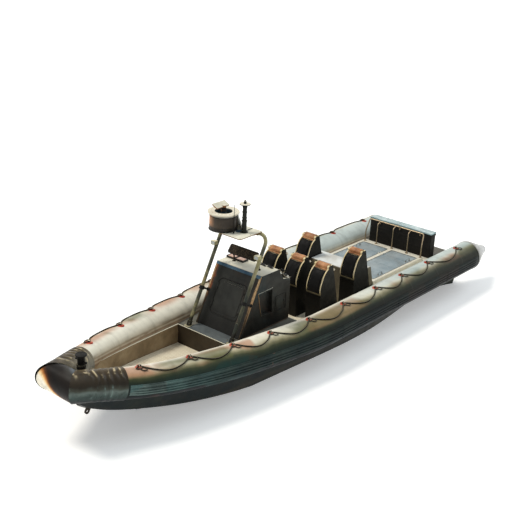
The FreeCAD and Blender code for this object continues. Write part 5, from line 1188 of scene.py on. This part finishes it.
def build_patches():
    rubber, tabs, rings, cord = Build(), Build(), Build(), Build()
    for side in (1, -1):
        for x in PATCH_XS:
            patch_disc(rubber.mesh, x, side, PATCH_R, 0.004, 1.0)
            patch_disc(rubber.mesh, x, side, PATCH_R * 0.7, 0.007, 1.35)
            top = collar_point(x, 90.0, 0.008)
            out = (top - Vector((x, *collar(x)[:2]))).normalized()
            ahead = heading(x)
            across = out.cross(ahead).normalized()
            ring = [top + across * RING_R * u + ahead * 0.004 + out * RING_R * v for u, v in
                    ((-1, 0), (-1, 0.5), (-0.5, 1), (0.5, 1), (1, 0.5), (1, 0), (-1, 0))]
            rings.bar(curved([mirrored(p, side) for p in ring], 5), 0.0042)
            lay, high, spot = (mirrored(p, side) for p in (ahead, out, top))
            for rise, wide, length, thick, edge in TAB_LAYERS:
                tabs.block(place(spot + high * rise, high, lay), (wide, length, thick), edge)
            # two hanging loops of lashing cord and a wrap round the ring
            for k, (drop, shift) in enumerate(((LASH_DROP, -0.045), (LASH_DROP * 0.66, 0.04))):
                loop = []
                for t in (i / 14 for i in range(15)):
                    swing = math.sin(math.pi * t)
                    angle = 90.0 - math.degrees(drop * swing / collar(x)[2]) * (1.0 - 0.15 * k)
                    wide = 0.046 * math.sin(2 * math.pi * t) + shift * swing
                    loop.append(collar_point(x - 0.01 + wide, angle, 0.012 + 0.008 * swing * (1 - swing)))
                cord.bar(curved([mirrored(p, side) for p in loop], 3), 0.0080, 7)
            for k in range(4):
                wrap = []
                for a in (2 * math.pi * i / 8 for i in range(9)):
                    p = spot + lay * (-0.018 + 0.011 * k + 0.010 * math.cos(a))
                    p += high * (0.014 + 0.010 * math.sin(a))
                    wrap.append(p + lay.cross(high) * (0.012 * math.sin(a + k)))
                cord.bar(wrap, 0.0070, 6)
    bmesh.ops.recalc_face_normals(rubber.mesh, faces=rubber.mesh.faces[:])
    data = bpy.data.meshes.new("line_patch_rubber")
    rubber.mesh.to_mesh(data)
    rubber.mesh.free()
    put("line_patch_rubber", data, "patch", stands_for=("line_patches",))
    tabs.done("line_patch_tabs", "patch")
    rings.done("line_rings", "steel")
    cord.done("line_lashings", "rope")


# Seats
SEATS = ((-0.317, 0.548), (-0.317, 0.0), (-0.317, -0.548), (-1.363, 0.548), (-1.363, -0.548))
SADDLE = ((-0.003, 1.440), (0.111, 1.339), (0.166, 1.223), (0.199, 1.111), (0.188, 1.000))
SEAT_HALF, SEAT_RAIL, SEAT_TOP_Z = 0.163, 0.026, 1.498
PAD_HALF = SEAT_HALF - SEAT_RAIL - 0.002
PAD_COLUMNS = 14
ROLL_FRONT_Z = 1.405
ROLL_BACK = [(-0.104, 1.500), (-0.070, 1.501), (-0.030, 1.499), (-0.004, 1.480), (0.004, 1.458)]
CLOTH_FRAMES, CLOTH_PRESSURE = 20, 4.0


def spline_through(points, steps):
    """A smooth line through the points."""
    points = [Vector((x, 0, z)) for x, z in points]
    out = []
    for i in range(len(points) - 1):
        before = points[max(i - 1, 0)]
        a, b = points[i], points[i + 1]
        after = points[min(i + 2, len(points) - 1)]
        for k in range(steps):
            t = k / steps
            out.append(0.5 * ((2 * a) + (b - before) * t + (2 * before - 5 * a + 4 * b - after) * t * t
                              + (3 * a - before - 3 * b + after) * t ** 3))
    out.append(points[-1])
    return out


def along_normals(line):
    """Each point of a line in the x-z plane with the way out from it, forward and up."""
    out = []
    for i, point in enumerate(line):
        ahead = (line[min(i + 1, len(line) - 1)] - line[max(i - 1, 0)]).normalized()
        out.append((point, Vector((-ahead.z, 0, ahead.x))))
    return out


def cushion_mesh(line, half, inner, crown):
    """A closed pad on a line in the x-z plane, crowned between its edges."""
    rows = along_normals(line)
    wide = PAD_COLUMNS + 1
    size = len(rows) * wide
    verts, faces = [], []
    for layer in (1, 0):
        for i, (point, out) in enumerate(rows):
            s = i / (len(rows) - 1)
            for j in range(wide):
                t = -1 + 2 * j / PAD_COLUMNS
                rise = crown * (1 - abs(t) ** 5) * (1 - abs(2 * s - 1) ** 7) if layer else -inner
                verts.append(point + out * rise + Vector((0, half * t, 0)))
    for i in range(len(rows) - 1):
        for j in range(PAD_COLUMNS):
            a = i * wide + j
            faces.append((a, a + 1, a + wide + 1, a + wide))
            faces.append((size + a, size + a + wide, size + a + wide + 1, size + a + 1))
    for i in range(len(rows) - 1):
        for j in (0, PAD_COLUMNS):
            a = i * wide + j
            face = (a, a + wide, size + a + wide, size + a)
            faces.append(face if j == 0 else face[::-1])
    for i in (0, len(rows) - 1):
        for j in range(PAD_COLUMNS):
            a = i * wide + j
            face = (a, size + a, size + a + 1, a + 1)
            faces.append(face if i == 0 else face[::-1])
    return mesh_of("cushion", verts, faces)


def puffed(data, voxel, cap):
    """The mesh blown up a little as cloth, with its points held within a cap."""
    mesh = bmesh.new()
    mesh.from_mesh(data)
    bmesh.ops.recalc_face_normals(mesh, faces=mesh.faces[:])
    mesh.to_mesh(data)
    mesh.free()
    obj = add_object("puff", data)
    remesh = obj.modifiers.new("remesh", "REMESH")
    remesh.mode = "VOXEL"
    remesh.voxel_size = voxel
    graph = bpy.context.evaluated_depsgraph_get()
    start = bpy.data.meshes.new_from_object(obj.evaluated_get(graph))
    obj.modifiers.clear()
    obj.data = start
    before = [v.co.copy() for v in start.vertices]
    cloth = obj.modifiers.new("cloth", "CLOTH")
    cloth.settings.use_pressure = True
    cloth.settings.uniform_pressure_force = CLOTH_PRESSURE
    cloth.settings.effector_weights.gravity = 0.0
    cloth.settings.quality = 5
    cloth.point_cache.frame_start = 1
    cloth.point_cache.frame_end = CLOTH_FRAMES
    for step in range(1, CLOTH_FRAMES + 1):
        bpy.context.scene.frame_set(step)
    graph = bpy.context.evaluated_depsgraph_get()
    blown = bpy.data.meshes.new_from_object(obj.evaluated_get(graph))
    bpy.context.scene.frame_set(1)
    bpy.data.objects.remove(obj)
    for vertex, home in zip(blown.vertices, before):
        move = vertex.co - home
        if move.length > cap:
            vertex.co = home + move * (cap / move.length)
    return blown


def pad_front():
    """The saddle's front from under the roll down to the pad's foot."""
    return [p for p in spline_through(SADDLE, 12) if p.z < ROLL_FRONT_Z + 0.012]


def roll_line():
    """Over the seat's top front edge, from behind the top to the pad's start."""
    curve = [p for p in spline_through(SADDLE, 12) if ROLL_FRONT_Z - 0.004 < p.z < 1.438]
    return spline_through(ROLL_BACK + [(p.x, p.z) for p in curve[::3]], 4)


def cloth_piece(name, source, shift, finish, stands_for):
    data = source.copy()
    data.name = name
    data.transform(Matrix.Translation(Vector(shift)))
    obj = put(name, data, finish, stands_for=stands_for)
    smooth = obj.modifiers.new("smooth", "SUBSURF")
    smooth.levels = smooth.render_levels = 1


def stitches(build, line, gap, length):
    """A row of thread stitches along a line."""
    spots = evenly(line, gap)
    for a, b in zip(spots, spots[1:]):
        middle = (a + b) / 2
        way = (b - a).normalized() * (length / 2)
        build.bar((middle - way, middle - way * 0.3, middle + way * 0.3, middle + way), 0.0042, 6)


def build_seats():
    pad = puffed(cushion_mesh(pad_front(), PAD_HALF - 0.004, 0.02, 0.010), 0.006, 0.007)
    roll = puffed(cushion_mesh(roll_line(), PAD_HALF - 0.003, 0.006, 0.012), 0.005, 0.008)
    front = [p + out * 0.009 for p, out in along_normals(pad_front())]
    thread, piping, hardware = Build(), Build(), Build()
    for i, (x, y) in enumerate(SEATS, 1):
        cloth_piece("seat_cushion_%d" % i, pad, (x, y, 0), "pad", ("seat_pad_%d" % i,))
        cloth_piece("seat_roll_%d" % i, roll, (x, y, 0), "roll", ())
        # two stitched rows behind the roll
        wide = SEAT_HALF - 0.012
        for back in (-0.120, -0.098):
            row = [Vector((x + back, y - wide + 2 * wide * k / 24, SEAT_TOP_Z + 0.0022)) for k in range(25)]
            stitches(thread, row, 0.026, 0.016)
        for side in (-1, 1):
            piping.bar([p + Vector((x, y + side * (PAD_HALF - 0.001), 0)) for p in front[::2]], 0.0045)
            # stitches on the tops of the rails, and screws down the sides of the moulding
            for share in (0.3, 0.72):
                rail_y = y + side * (SEAT_HALF - SEAT_RAIL * share)
                run = ((-0.08, 1.4995), (-0.05, 1.4998), (-0.03, 1.4985), (-0.012, 1.492))
                stitches(thread, [Vector((x + dx, rail_y, z)) for dx, z in run], 0.024, 0.014)
            for k in range(6):
                spot = (x - 0.02, y + side * (SEAT_HALF + 0.0005), 0.47 + 0.16 * k)
                hardware.screw(place(spot, (0, side, 0)), 0.007)
        hardware.block(place((x + 0.19, y, 0.934)), (0.016, 2 * SEAT_HALF - 0.01, 0.012), 0.003)
    thread.done("seat_stitches", "stitch")
    piping.done("seat_piping", "rubber")
    hardware.done("seat_screws", "trim_black")


# Console
class Slope:
    """A flat panel that leans: a point on it is u to port, v up the slope and w out of it."""

    def __init__(self, foot, head, out):
        self.foot = Vector(foot)
        self.up = Vector(head) - self.foot
        self.length = self.up.length
        self.up.normalize()
        self.out = Vector((self.up.z, 0, -self.up.x)) * out

    def at(self, u, v, w=0.0):
        return self.foot + Vector((0, u, 0)) + self.up * v + self.out * w

    def place(self, u, v, w=0.0):
        return place(self.at(u, v, w), self.out, self.up)


CON_HALF, CON_TOP_Z = 0.522, 1.719
FRONT = Slope((1.833, 0, 0.700), (1.322, 0, CON_TOP_Z), 1)
DASH = Slope((0.727, 0, 1.507), (0.871, 0, CON_TOP_Z), -1)
HOOD = Slope((1.280, 0, 1.915), (1.185, 0, 2.046), 1)
HATCH_HALF, HATCH_ROUND = 0.31, 0.09
HATCH_LOW, HATCH_HIGH = 0.235 * FRONT.length, 0.775 * FRONT.length
SCREW_SPOTS = ((1.018, 0.965), (1.16, 0.972), (1.318, 0.985), (1.41, 1.42), (1.22, 1.43), (1.036, 1.432))
WIRE_RAIL = ((0.868, 0, 1.722), (0.80, 0.006, 1.652), (0.70, 0.008, 1.535), (0.62, 0.008, 1.510),
             (0.536, 0, 1.486))
GAUGE_RIM = ((0.025, -0.001), (0.026, 0.004), (0.023, 0.007), (0.021, 0.004), (0.021, 0.0))
GAUGE_FACE = ((0.0215, 0.0), (0.0215, 0.0015), (0, 0.0015))
CLEAT = ((-0.075, 0.034), (-0.035, 0.031), (0.0, 0.024), (0.035, 0.031), (0.075, 0.034))


def rounded_loop(u0, u1, v0, v1, radius):
    """A closed rounded rectangle as pairs."""
    out = []
    for cu, cv, start in ((u1 - radius, v1 - radius, 0), (u0 + radius, v1 - radius, 90),
                          (u0 + radius, v0 + radius, 180), (u1 - radius, v0 + radius, 270)):
        for k in range(9):
            a = math.radians(start + 90 * k / 8)
            out.append((cu + radius * math.cos(a), cv + radius * math.sin(a)))
    out.append(out[0])
    return out


def hatch_loop(gap, out):
    """A line round the front hatch, at a gap outside its edge."""
    wide = HATCH_HALF + gap
    loop = rounded_loop(-wide, wide, HATCH_LOW - gap, HATCH_HIGH + gap, HATCH_ROUND + gap)
    return [FRONT.at(u, v, out) for u, v in loop]


def side_loop(side, out, *sizes):
    """A rounded rectangle on the console's side."""
    return [Vector((x, side * (CON_HALF + out), z)) for x, z in rounded_loop(*sizes)]


def build_console_details():
    seal, screws, edges, lip = Build(), Build(), Build(), Build()
    seal.bar(hatch_loop(0.014, 0.001), 0.006)
    screws.screws(hatch_loop(0.048, 0.0), 0.095, FRONT.out, 0.0065)
    # the lip across the top front edge, its rolled lower rim, and seams above and below the hatch
    wide = CON_HALF - 0.03
    # the lip's blue finish is a painted shadow
    lip.block(FRONT.place(0, FRONT.length - 0.027, 0.004), (0.046, 2 * CON_HALF - 0.05, 0.012), 0.005, 3)
    lip.bar([FRONT.at(u, FRONT.length - 0.052, 0.005) for u in (-wide, 0, wide)], 0.006, 10)
    for v in (HATCH_LOW - 0.105, HATCH_HIGH + 0.085):
        seal.bar([FRONT.at(u, v, -0.0012) for u in (0.01 - wide, 0, wide - 0.01)], 0.0022, 6)
    for side in (-1, 1):
        # trims down the front edges and along the foot, then rims and screws on the sides
        u = side * (CON_HALF - 0.036)
        edges.bar([FRONT.at(u, v) for v in (0.012, 0.25, 0.5, 0.75, FRONT.length - 0.055)], 0.011, 10)
        for k in range(18):
            screws.screw(FRONT.place(u, 0.04 + 0.06 * k, 0.010), 0.0045)
        edges.bar([(x, side * (CON_HALF + 0.001), 0.712) for x in (1.80, 1.4, 0.9, 0.55)], 0.008)
        for x, z in SCREW_SPOTS:
            screws.screw(place((x, side * (CON_HALF + 0.012), z), (0, side, 0)), 0.005)
        for x in (1.75, 1.5, 1.25, 1.0, 0.75):
            screws.screw(place((x, side * CON_HALF, 0.735), (0, side, 0)), 0.006)
        seal.bar(side_loop(side, 0.001, 0.657, 0.943, 0.952, 1.240, 0.03), 0.005)
        screws.screws(side_loop(side, 0.0005, 0.635, 0.965, 0.93, 1.262, 0.04), 0.105, (0, side, 0), 0.005)
    seal.done("console_seals", "rubber")
    screws.done("console_screws", "trim_black")
    edges.done("console_edge_trims", "edge")
    lip.done("console_lip", "lip")
    latch = Build()
    for v in (HATCH_LOW + 0.13, (HATCH_LOW + HATCH_HIGH) / 2, HATCH_HIGH - 0.13):
        latch.latch(FRONT.at(HATCH_HALF - 0.036, v), FRONT.out, FRONT.up, 0.024, 0.036)
    latch.done("hatch_latches", "trim_black", "console_hatch")
    for side, word in SIDES:
        body = "console_door_" + word
        knob = Build()
        knob.latch(Vector((0.70, side * CON_HALF, 1.10)), Vector((0, side, 0)), (1, 0, 0), 0.021, 0.034)
        knob.bar(side_loop(side, 0.001, 0.70, 0.90, 0.995, 1.197, 0.02), 0.004)
        knob.done(body + "_latch", "trim_black", body)


def build_top_fittings():
    """What stands on the console's top: cleats, framed screens, a wire rail and its white clips."""
    dark, white, wire, glass = Build(), Build(), Build(), Build()
    for x, y, turn in ((0.925, 0.20, 0.1), (0.915, 0.35, 0.15)):
        ahead = Vector((math.sin(turn), math.cos(turn), 0))
        spot = Vector((x, y, CON_TOP_Z))
        dark.block(place(spot + Vector((0, 0, 0.006)), ahead=ahead), (0.13, 0.036, 0.012), 0.004)
        dark.bar(curved([spot + ahead * d + Vector((0, 0, h)) for d, h in CLEAT], 5), 0.008, 10)
    for x, y in ((0.95, -0.505), (0.95, -0.30)):
        middle = Vector((x + 0.075, y + 0.095, CON_TOP_Z + 0.030))
        glass.block(place(middle + Vector((0, 0, 0.001))), (0.118, 0.158, 0.003), 0.001)
        for k in (-1, 1):
            dark.block(place(middle + Vector((k * 0.067, 0, 0.002))), (0.013, 0.186, 0.010), 0.003)
            dark.block(place(middle + Vector((0, k * 0.087, 0.002))), (0.146, 0.013, 0.010), 0.003)
    lean = (-0.5, 0, 1)
    for side in (-1, 1):
        y = side * (CON_HALF - 0.006)
        wire.bar(curved([(x, y + side * dy, z) for x, dy, z in WIRE_RAIL], 6), 0.0036)
        for x, z in ((0.80, 1.628), (0.60, 1.502)):
            spot = Vector((x, y - side * 0.022, z))
            white.block(place(spot, lean), (0.052, 0.030, 0.022), 0.005, 3)
            cap = place(spot + Vector((-0.006, 0, 0.012)), lean)
            white.button(cap, 0.013, 0.010, 0.009, 0.014, 16, -0.002)
            dark.screw(place(spot + Vector((-0.008, 0, 0.026)), lean), 0.006)
    dark.done("console_cleats", "trim_black")
    white.done("console_clips", "white_part")
    wire.done("console_wire_rail", "steel")
    glass.done("display_screens", "display")


def build_dash_details():
    """Screens, gauges with their ticks, and switches on the dash panel."""
    glass, dials, rims, switches = Build(), Build(), Build(), Build()
    for side in (-1, 1):
        glass.block(DASH.place(side * 0.235, 0.128, 0.0092), (0.140, 0.330, 0.002), 0.0008)
        for k in range(6):
            key = DASH.place(side * 0.235 + (k - 2.5) * 0.05, 0.041, 0.0125)
            switches.button(key, 0.007, 0.003, 0.0055, 0.005, 14)
    for u, v in ((-0.028, 0.172), (0.028, 0.172), (0.0, 0.118)):
        rims.turned(DASH.place(u, v, 0.012), GAUGE_RIM, 28)
        dials.turned(DASH.place(u, v, 0.012), GAUGE_FACE, 28)
        for k in range(11):
            a = math.radians(-40 + 26 * k)
            way = Vector((0, 1, 0)) * math.cos(a) + DASH.up * math.sin(a)
            tick = place(DASH.at(u, v, 0.014) + way * 0.017, DASH.out, way)
            switches.block(tick, (0.005, 0.0012, 0.0006), 0.0001, 1)
    for k in range(4):
        switches.block(DASH.place(-0.042 + 0.028 * k, 0.066, 0.0125), (0.022, 0.012, 0.010), 0.002)
    glass.done("dash_screens", "screen")
    dials.done("dash_dials", "white_part")
    rims.done("dash_rims", "steel")
    switches.done("dash_switches", "rubber")


def build_deflector_details():
    """Upright slats, an edge bead and clips on the wind deflector."""
    slats, bead = Build(), Build()
    for k in range(31):
        u = -0.288 + 0.576 * k / 30
        lean = 0.004 * math.sin(k * 2.3)
        slats.bar([HOOD.at(u + lean * t, 0.012 + (HOOD.length - 0.024) * t, 0.0045) for t in (0, 0.5, 1)],
                  0.0045, 6)
    rim = rounded_loop(-0.313, 0.313, 0.002, HOOD.length - 0.002, 0.03)
    bead.bar([HOOD.at(u, v) for u, v in rim], 0.0075)
    for side in (-1, 1):
        for v in (0.045, 0.115):
            bead.button(HOOD.place(side * 0.285, v, 0.005), 0.012, 0.004, 0.008, 0.007, 14, 0)
    slats.done("deflector_slats", "deflector")
    bead.done("deflector_bead", "rubber")


# Arch, plate, scanner and mast
PLATE_BOLT_XS, PLATE_BOLT_Y = (1.195, 1.455, 1.716), 0.33
RIM_BOLTS_R, RIM_BOLTS_UP, FOOT_BOLTS_R, FOOT_BOLTS_UP = 0.209, 0.3103, 0.056, 0.009
MAST_FOOT = ((0.068, -0.001), (0.068, 0.007), (0.062, 0.010), (0.045, 0.012), (0.043, 0.03), (0.0425, 0.03))
DRUM_FOOT = ((0.247, -0.001), (0.247, 0.006), (0.241, 0.012), (0.2365, 0.014))
LEG_UP = (-0.4472, 0, 0.8944)


def build_mast_details():
    bolts, seat, trim, cable = Build(), Build(), Build(), Build()
    for x in PLATE_BOLT_XS:
        for y in (-PLATE_BOLT_Y, PLATE_BOLT_Y):
            bolts.screw(place((x, y, PLATE_Z)), 0.008)
    for foot, count, r, rise, radius in ((DRUM, 20, RIM_BOLTS_R, RIM_BOLTS_UP, 0.006),
                                         (MAST, 6, FOOT_BOLTS_R, FOOT_BOLTS_UP, 0.005)):
        for c, s in circle(count):
            bolts.screw(place(foot + Vector((r * c, r * s, rise))), radius)
    # a thin blue disc on the plate beside the mast: a painted shadow, not a fitting
    seat.button(place((1.452, 0.082, PLATE_Z)), 0.066, 0.003, 0.060, 0.005, 36)
    # foot flange of the mast, foot ring and bands of the drum, bands of the mast
    trim.turned(place(MAST), MAST_FOOT, 32)
    trim.turned(place(DRUM), DRUM_FOOT, 64)
    for z in (0.06, 0.244):
        trim.hoop(place(DRUM + Vector((0, 0, z))), 0.2362, 0.2395, 0.004, 0.002, 64)
    for z, r in ((2.70, 0.0405), (2.80, 0.0395), (2.89, 0.0385)):
        trim.hoop(place((MAST.x, MAST.y, z)), r - 0.001, r + 0.003, 0.009, 0.007, 28)
    route = ((-0.045, 0.0, 0.012), (-0.09, -0.01, 0.008), (-0.16, -0.02, 0.008), (-0.235, -0.02, 0.006))
    cable.bar(curved([MAST + Vector(p) for p in route], 6), 0.006)
    bolts.done("plate_bolts", "screw")
    seat.done("plate_painted_shadow", "blue_patch")
    trim.done("mast_trims", "mast")
    cable.done("mast_cable", "rubber")


def build_arch_details():
    """Bolts of the arch's feet and welded collars on its legs."""
    bolts, welds = Build(), Build()
    for side in (-1, 1):
        for dx in (-0.052, 0.052):
            for dy in (-0.046, 0.046):
                foot = place((ARCH_X + dx, side * ARCH_Y + dy, 0.768))
                bolts.button(foot, 0.011, 0.008, 0.009, 0.010, 6)
        for z in (1.02, 1.72, 2.0):
            spot = (ARCH_X - (z - ARCH_Z) * 0.5, side * ARCH_Y, z)
            welds.hoop(place(spot, LEG_UP), 0.0325, 0.0345, 0.004, 0.002, 28)
    bolts.done("arch_foot_bolts", "screw")
    welds.done("arch_weld_beads", "arch")


# Stern locker, deck and hatches
LOCKER_X, LOCKER_DEPTH, LOCKER_HALF, LOCKER_TOP_Z = -3.854, 0.190, 0.752, 1.239
LOCKER_RIBS = 58
AFT_DECK_Z = 0.772
STRIP_X, STRIP_SPAN, STRIP_COUNT, STRIP_Y = -3.50, 1.56, 44, 0.694
STRAP_XS, HINGE_XS, HINGE_Y, HINGE_HALF = (-3.2, -2.72, -2.24), (-2.226, -3.242), 0.612, 0.066
HINGE_CAP = ((0.019, -0.001), (0.019, 0.004), (0.014, 0.007), (0.0085, 0.008))


def build_locker_details():
    ribs, trim, hinges = Build(), Build(), Build()
    middle = LOCKER_X - LOCKER_DEPTH / 2
    wide = LOCKER_HALF - 0.012
    for k in range(LOCKER_RIBS):
        spot = (middle, -wide + 2 * wide * k / (LOCKER_RIBS - 1), LOCKER_TOP_Z + 0.001)
        ribs.block(place(spot), (LOCKER_DEPTH + 0.012, 0.015, 0.005), 0.0016)
    for side in (-1, 1):
        end = place((middle, side * (LOCKER_HALF + 0.003), LOCKER_TOP_Z - 0.05))
        trim.block(end, (LOCKER_DEPTH, 0.006, 0.035))
    for y in (-0.5, 0.0, 0.5):
        trim.block(place((LOCKER_X + 0.003, y, LOCKER_TOP_Z - 0.09)), (0.010, 0.10, 0.05), 0.003)
        hinges.block(place((LOCKER_X + 0.010, y, LOCKER_TOP_Z - 0.085)), (0.010, 0.03, 0.04), 0.003)
    for z in (0.90, 1.05):
        trim.bar([(LOCKER_X + 0.001, y, z) for y in (-0.72, 0, 0.72)], 0.004)
    ribs.done("locker_ribs", "locker_rib")
    trim.done("locker_trims", "locker")
    hinges.done("locker_latches", "bronze")


def deck_loop(side, out, *sizes):
    """A rounded rectangle on one side of the after deck."""
    return [Vector((x, y * side, AFT_DECK_Z + out)) for x, y in rounded_loop(*sizes)]


def build_deck_details():
    """Tread strips on the after deck's frame, seals round the hatches, and their straps and screws."""
    strips, seal = Build(), Build()
    for side in (1, -1):
        for k in range(STRIP_COUNT):
            spot = (STRIP_X + STRIP_SPAN * k / (STRIP_COUNT - 1), side * STRIP_Y, AFT_DECK_Z + 0.001)
            strips.block(place(spot), (0.018, 0.044, 0.005), 0.0018)
        seal.bar(deck_loop(side, 0.0005, -3.524, -1.921, 0.046, 0.669, 0.036), 0.0045)
    seal.done("lid_seals", "rubber")
    strips.done("deck_tread_strips", "frame")
    for side, word in SIDES:
        body = "hatch_" + word
        rivets, straps = Build(), Build()
        rivets.screws(deck_loop(side, 0.0, -3.488, -1.957, 0.088, 0.633, 0.02), 0.15, (0, 0, 1), 0.006)
        for x in STRAP_XS:
            straps.block(place((x, side * 0.36, AFT_DECK_Z)), (0.012, 0.44, 0.006))
        for x in HINGE_XS:
            for d in (-HINGE_HALF, HINGE_HALF):
                rivets.turned(place((x + d, side * HINGE_Y, AFT_DECK_Z)), HINGE_CAP, 20)
        rivets.done(body + "_screws", "screw", body)
        straps.done(body + "_ribs", "lid", body)


def build_rail():
    """The guard rail: a kinked hoop with three middle posts, collars and screwed feet."""
    rail, fittings = Build(), Build()
    foot, top, foot_x, rail_x, end_y = AFT_DECK_Z + 0.0003, 1.255, -3.611, -3.700, 0.690
    posts = (-0.405, -0.018, 0.353)
    hoop = []
    for side in (-1, 1):
        leg = [(foot_x, side * end_y, foot), (foot_x, side * end_y, 1.010), (rail_x, side * 0.665, top)]
        hoop += leg if side < 0 else leg[::-1]
    rail.bent_bar(hoop, 0.0125, 0.045)
    for y in posts:
        rail.bent_bar([(foot_x, y, foot), (foot_x, y, top - 0.050), (rail_x, y, top)], 0.0095, 0.024)
        for d in (-0.012, 0.012):
            collar_at = place((rail_x, y + d, top), (0, 1, 0))
            fittings.turned(collar_at, ((0.0145, -0.004), (0.0157, 0.0), (0.0145, 0.004)), 18)
    for y in (-end_y, *posts, end_y):
        rail.button(place((foot_x, y, foot)), 0.032, 0.008, 0.030, 0.010, 28, 0.0)
        for a in (0.8, 2.4, 4.0, 5.5):
            spot = (foot_x + 0.023 * math.cos(a), y + 0.023 * math.sin(a), AFT_DECK_Z + 0.0103)
            fittings.screw(place(spot), 0.005)
    rail.done("rail_tubes", "bronze", stands_for=("guard_rail",))
    fittings.done("rail_fittings", "bronze")


# Bow, strakes and waterjets
JET_X, JET_Y, JET_Z, FLANGE_R, FLANGE_BOLTS = -4.5913, 0.420, -0.170, 0.2, 12
LAP_XS = (-3.4, -1.6, 0.2, 2.0)
BOLLARD_X, BOLLARD_FOOT_Z, BOLLARD_TOP_Z, PIN_Z, PIN_HALF = 4.802, 0.958, 1.343, 1.235, 0.110
HITCH_TURNS, HITCH_R, HITCH_Z, HITCH_PITCH = 5, 0.0635, 1.105, 0.0155


def build_bow_details():
    """The bollard with its capped post, cross pin and base, rings on its cap and a rope hitch."""
    cap, hitch, post = Build(), Build(), Build()
    top = place((BOLLARD_X, 0, BOLLARD_TOP_Z))
    post.turned(top, ((0.056, BOLLARD_FOOT_Z - BOLLARD_TOP_Z), (0.056, -0.034), (0.060, -0.026),
                      (0.086, -0.022), (0.088, -0.018), (0.088, -0.004), (0.084, 0.0), (0, 0.0)), 48)
    post.bar([(BOLLARD_X, -PIN_HALF, PIN_Z), (BOLLARD_X, PIN_HALF, PIN_Z)], 0.0125, 18)
    for side in (-1, 1):
        knob = place((BOLLARD_X, side * PIN_HALF, PIN_Z), (0, side, 0))
        post.turned(knob, ((0.017, -0.002), (0.019, 0.004), (0.014, 0.010), (0, 0.012)), 18)
    post.block(place((BOLLARD_X, 0, BOLLARD_FOOT_Z + 0.007)), (0.13, 0.13, 0.014), 0.004)
    post.done("bollard_post", "rubber", stands_for=("bow_bollard",))
    for r in (0.020, 0.045, 0.068):
        cap.turned(top, ((r - 0.006, -0.001), (r - 0.003, 0.003), (r + 0.003, 0.003),
                         (r + 0.006, -0.001)), 32)
    cap.done("bollard_rings", "rubber")
    turns = []
    for i in range(24 * HITCH_TURNS + 1):
        a = 2 * math.pi * i / 24
        z = HITCH_Z + HITCH_PITCH * i / 24
        turns.append((BOLLARD_X + HITCH_R * math.cos(a), HITCH_R * math.sin(a), z))
    hitch.bar(turns, 0.0078)
    hitch.done("bollard_hitch", "rope")


def build_strake_details():
    """Lap joints of the rubbing strakes."""
    bands = Build()
    for side in (-1, 1):
        for x in LAP_XS:
            angles = (STRAKE_LOW + (STRAKE_HIGH - STRAKE_LOW) * k / 8 for k in range(9))
            bands.bar([mirrored(collar_point(x, angle, 0.0285), side) for angle in angles], 0.0035, 6)
    bands.done("strake_joints", "strake")


def build_jet_details():
    """Bolts round the flange of each waterjet."""
    bolts = Build()
    for side in (-1, 1):
        for c, s in circle(FLANGE_BOLTS, math.pi / FLANGE_BOLTS):
            spot = (JET_X, side * JET_Y + FLANGE_R * c, JET_Z + FLANGE_R * s)
            bolts.button(place(spot, (-1, 0, 0), (0, 0, 1)), 0.009, 0.007, 0.007, 0.009, 6)
    bolts.done("jet_bolts", "screw")


place_camera()
light_scene()
lay_floor()
bpy.context.scene.view_settings.view_transform = "Standard"
dress_nodes()
for build in (build_collar, build_sleeves, build_cones, build_strakes, build_lines, build_patches,
              build_seats, build_console_details, build_top_fittings, build_dash_details,
              build_deflector_details, build_mast_details, build_arch_details, build_locker_details,
              build_deck_details, build_rail, build_bow_details, build_strake_details, build_jet_details):
    build()
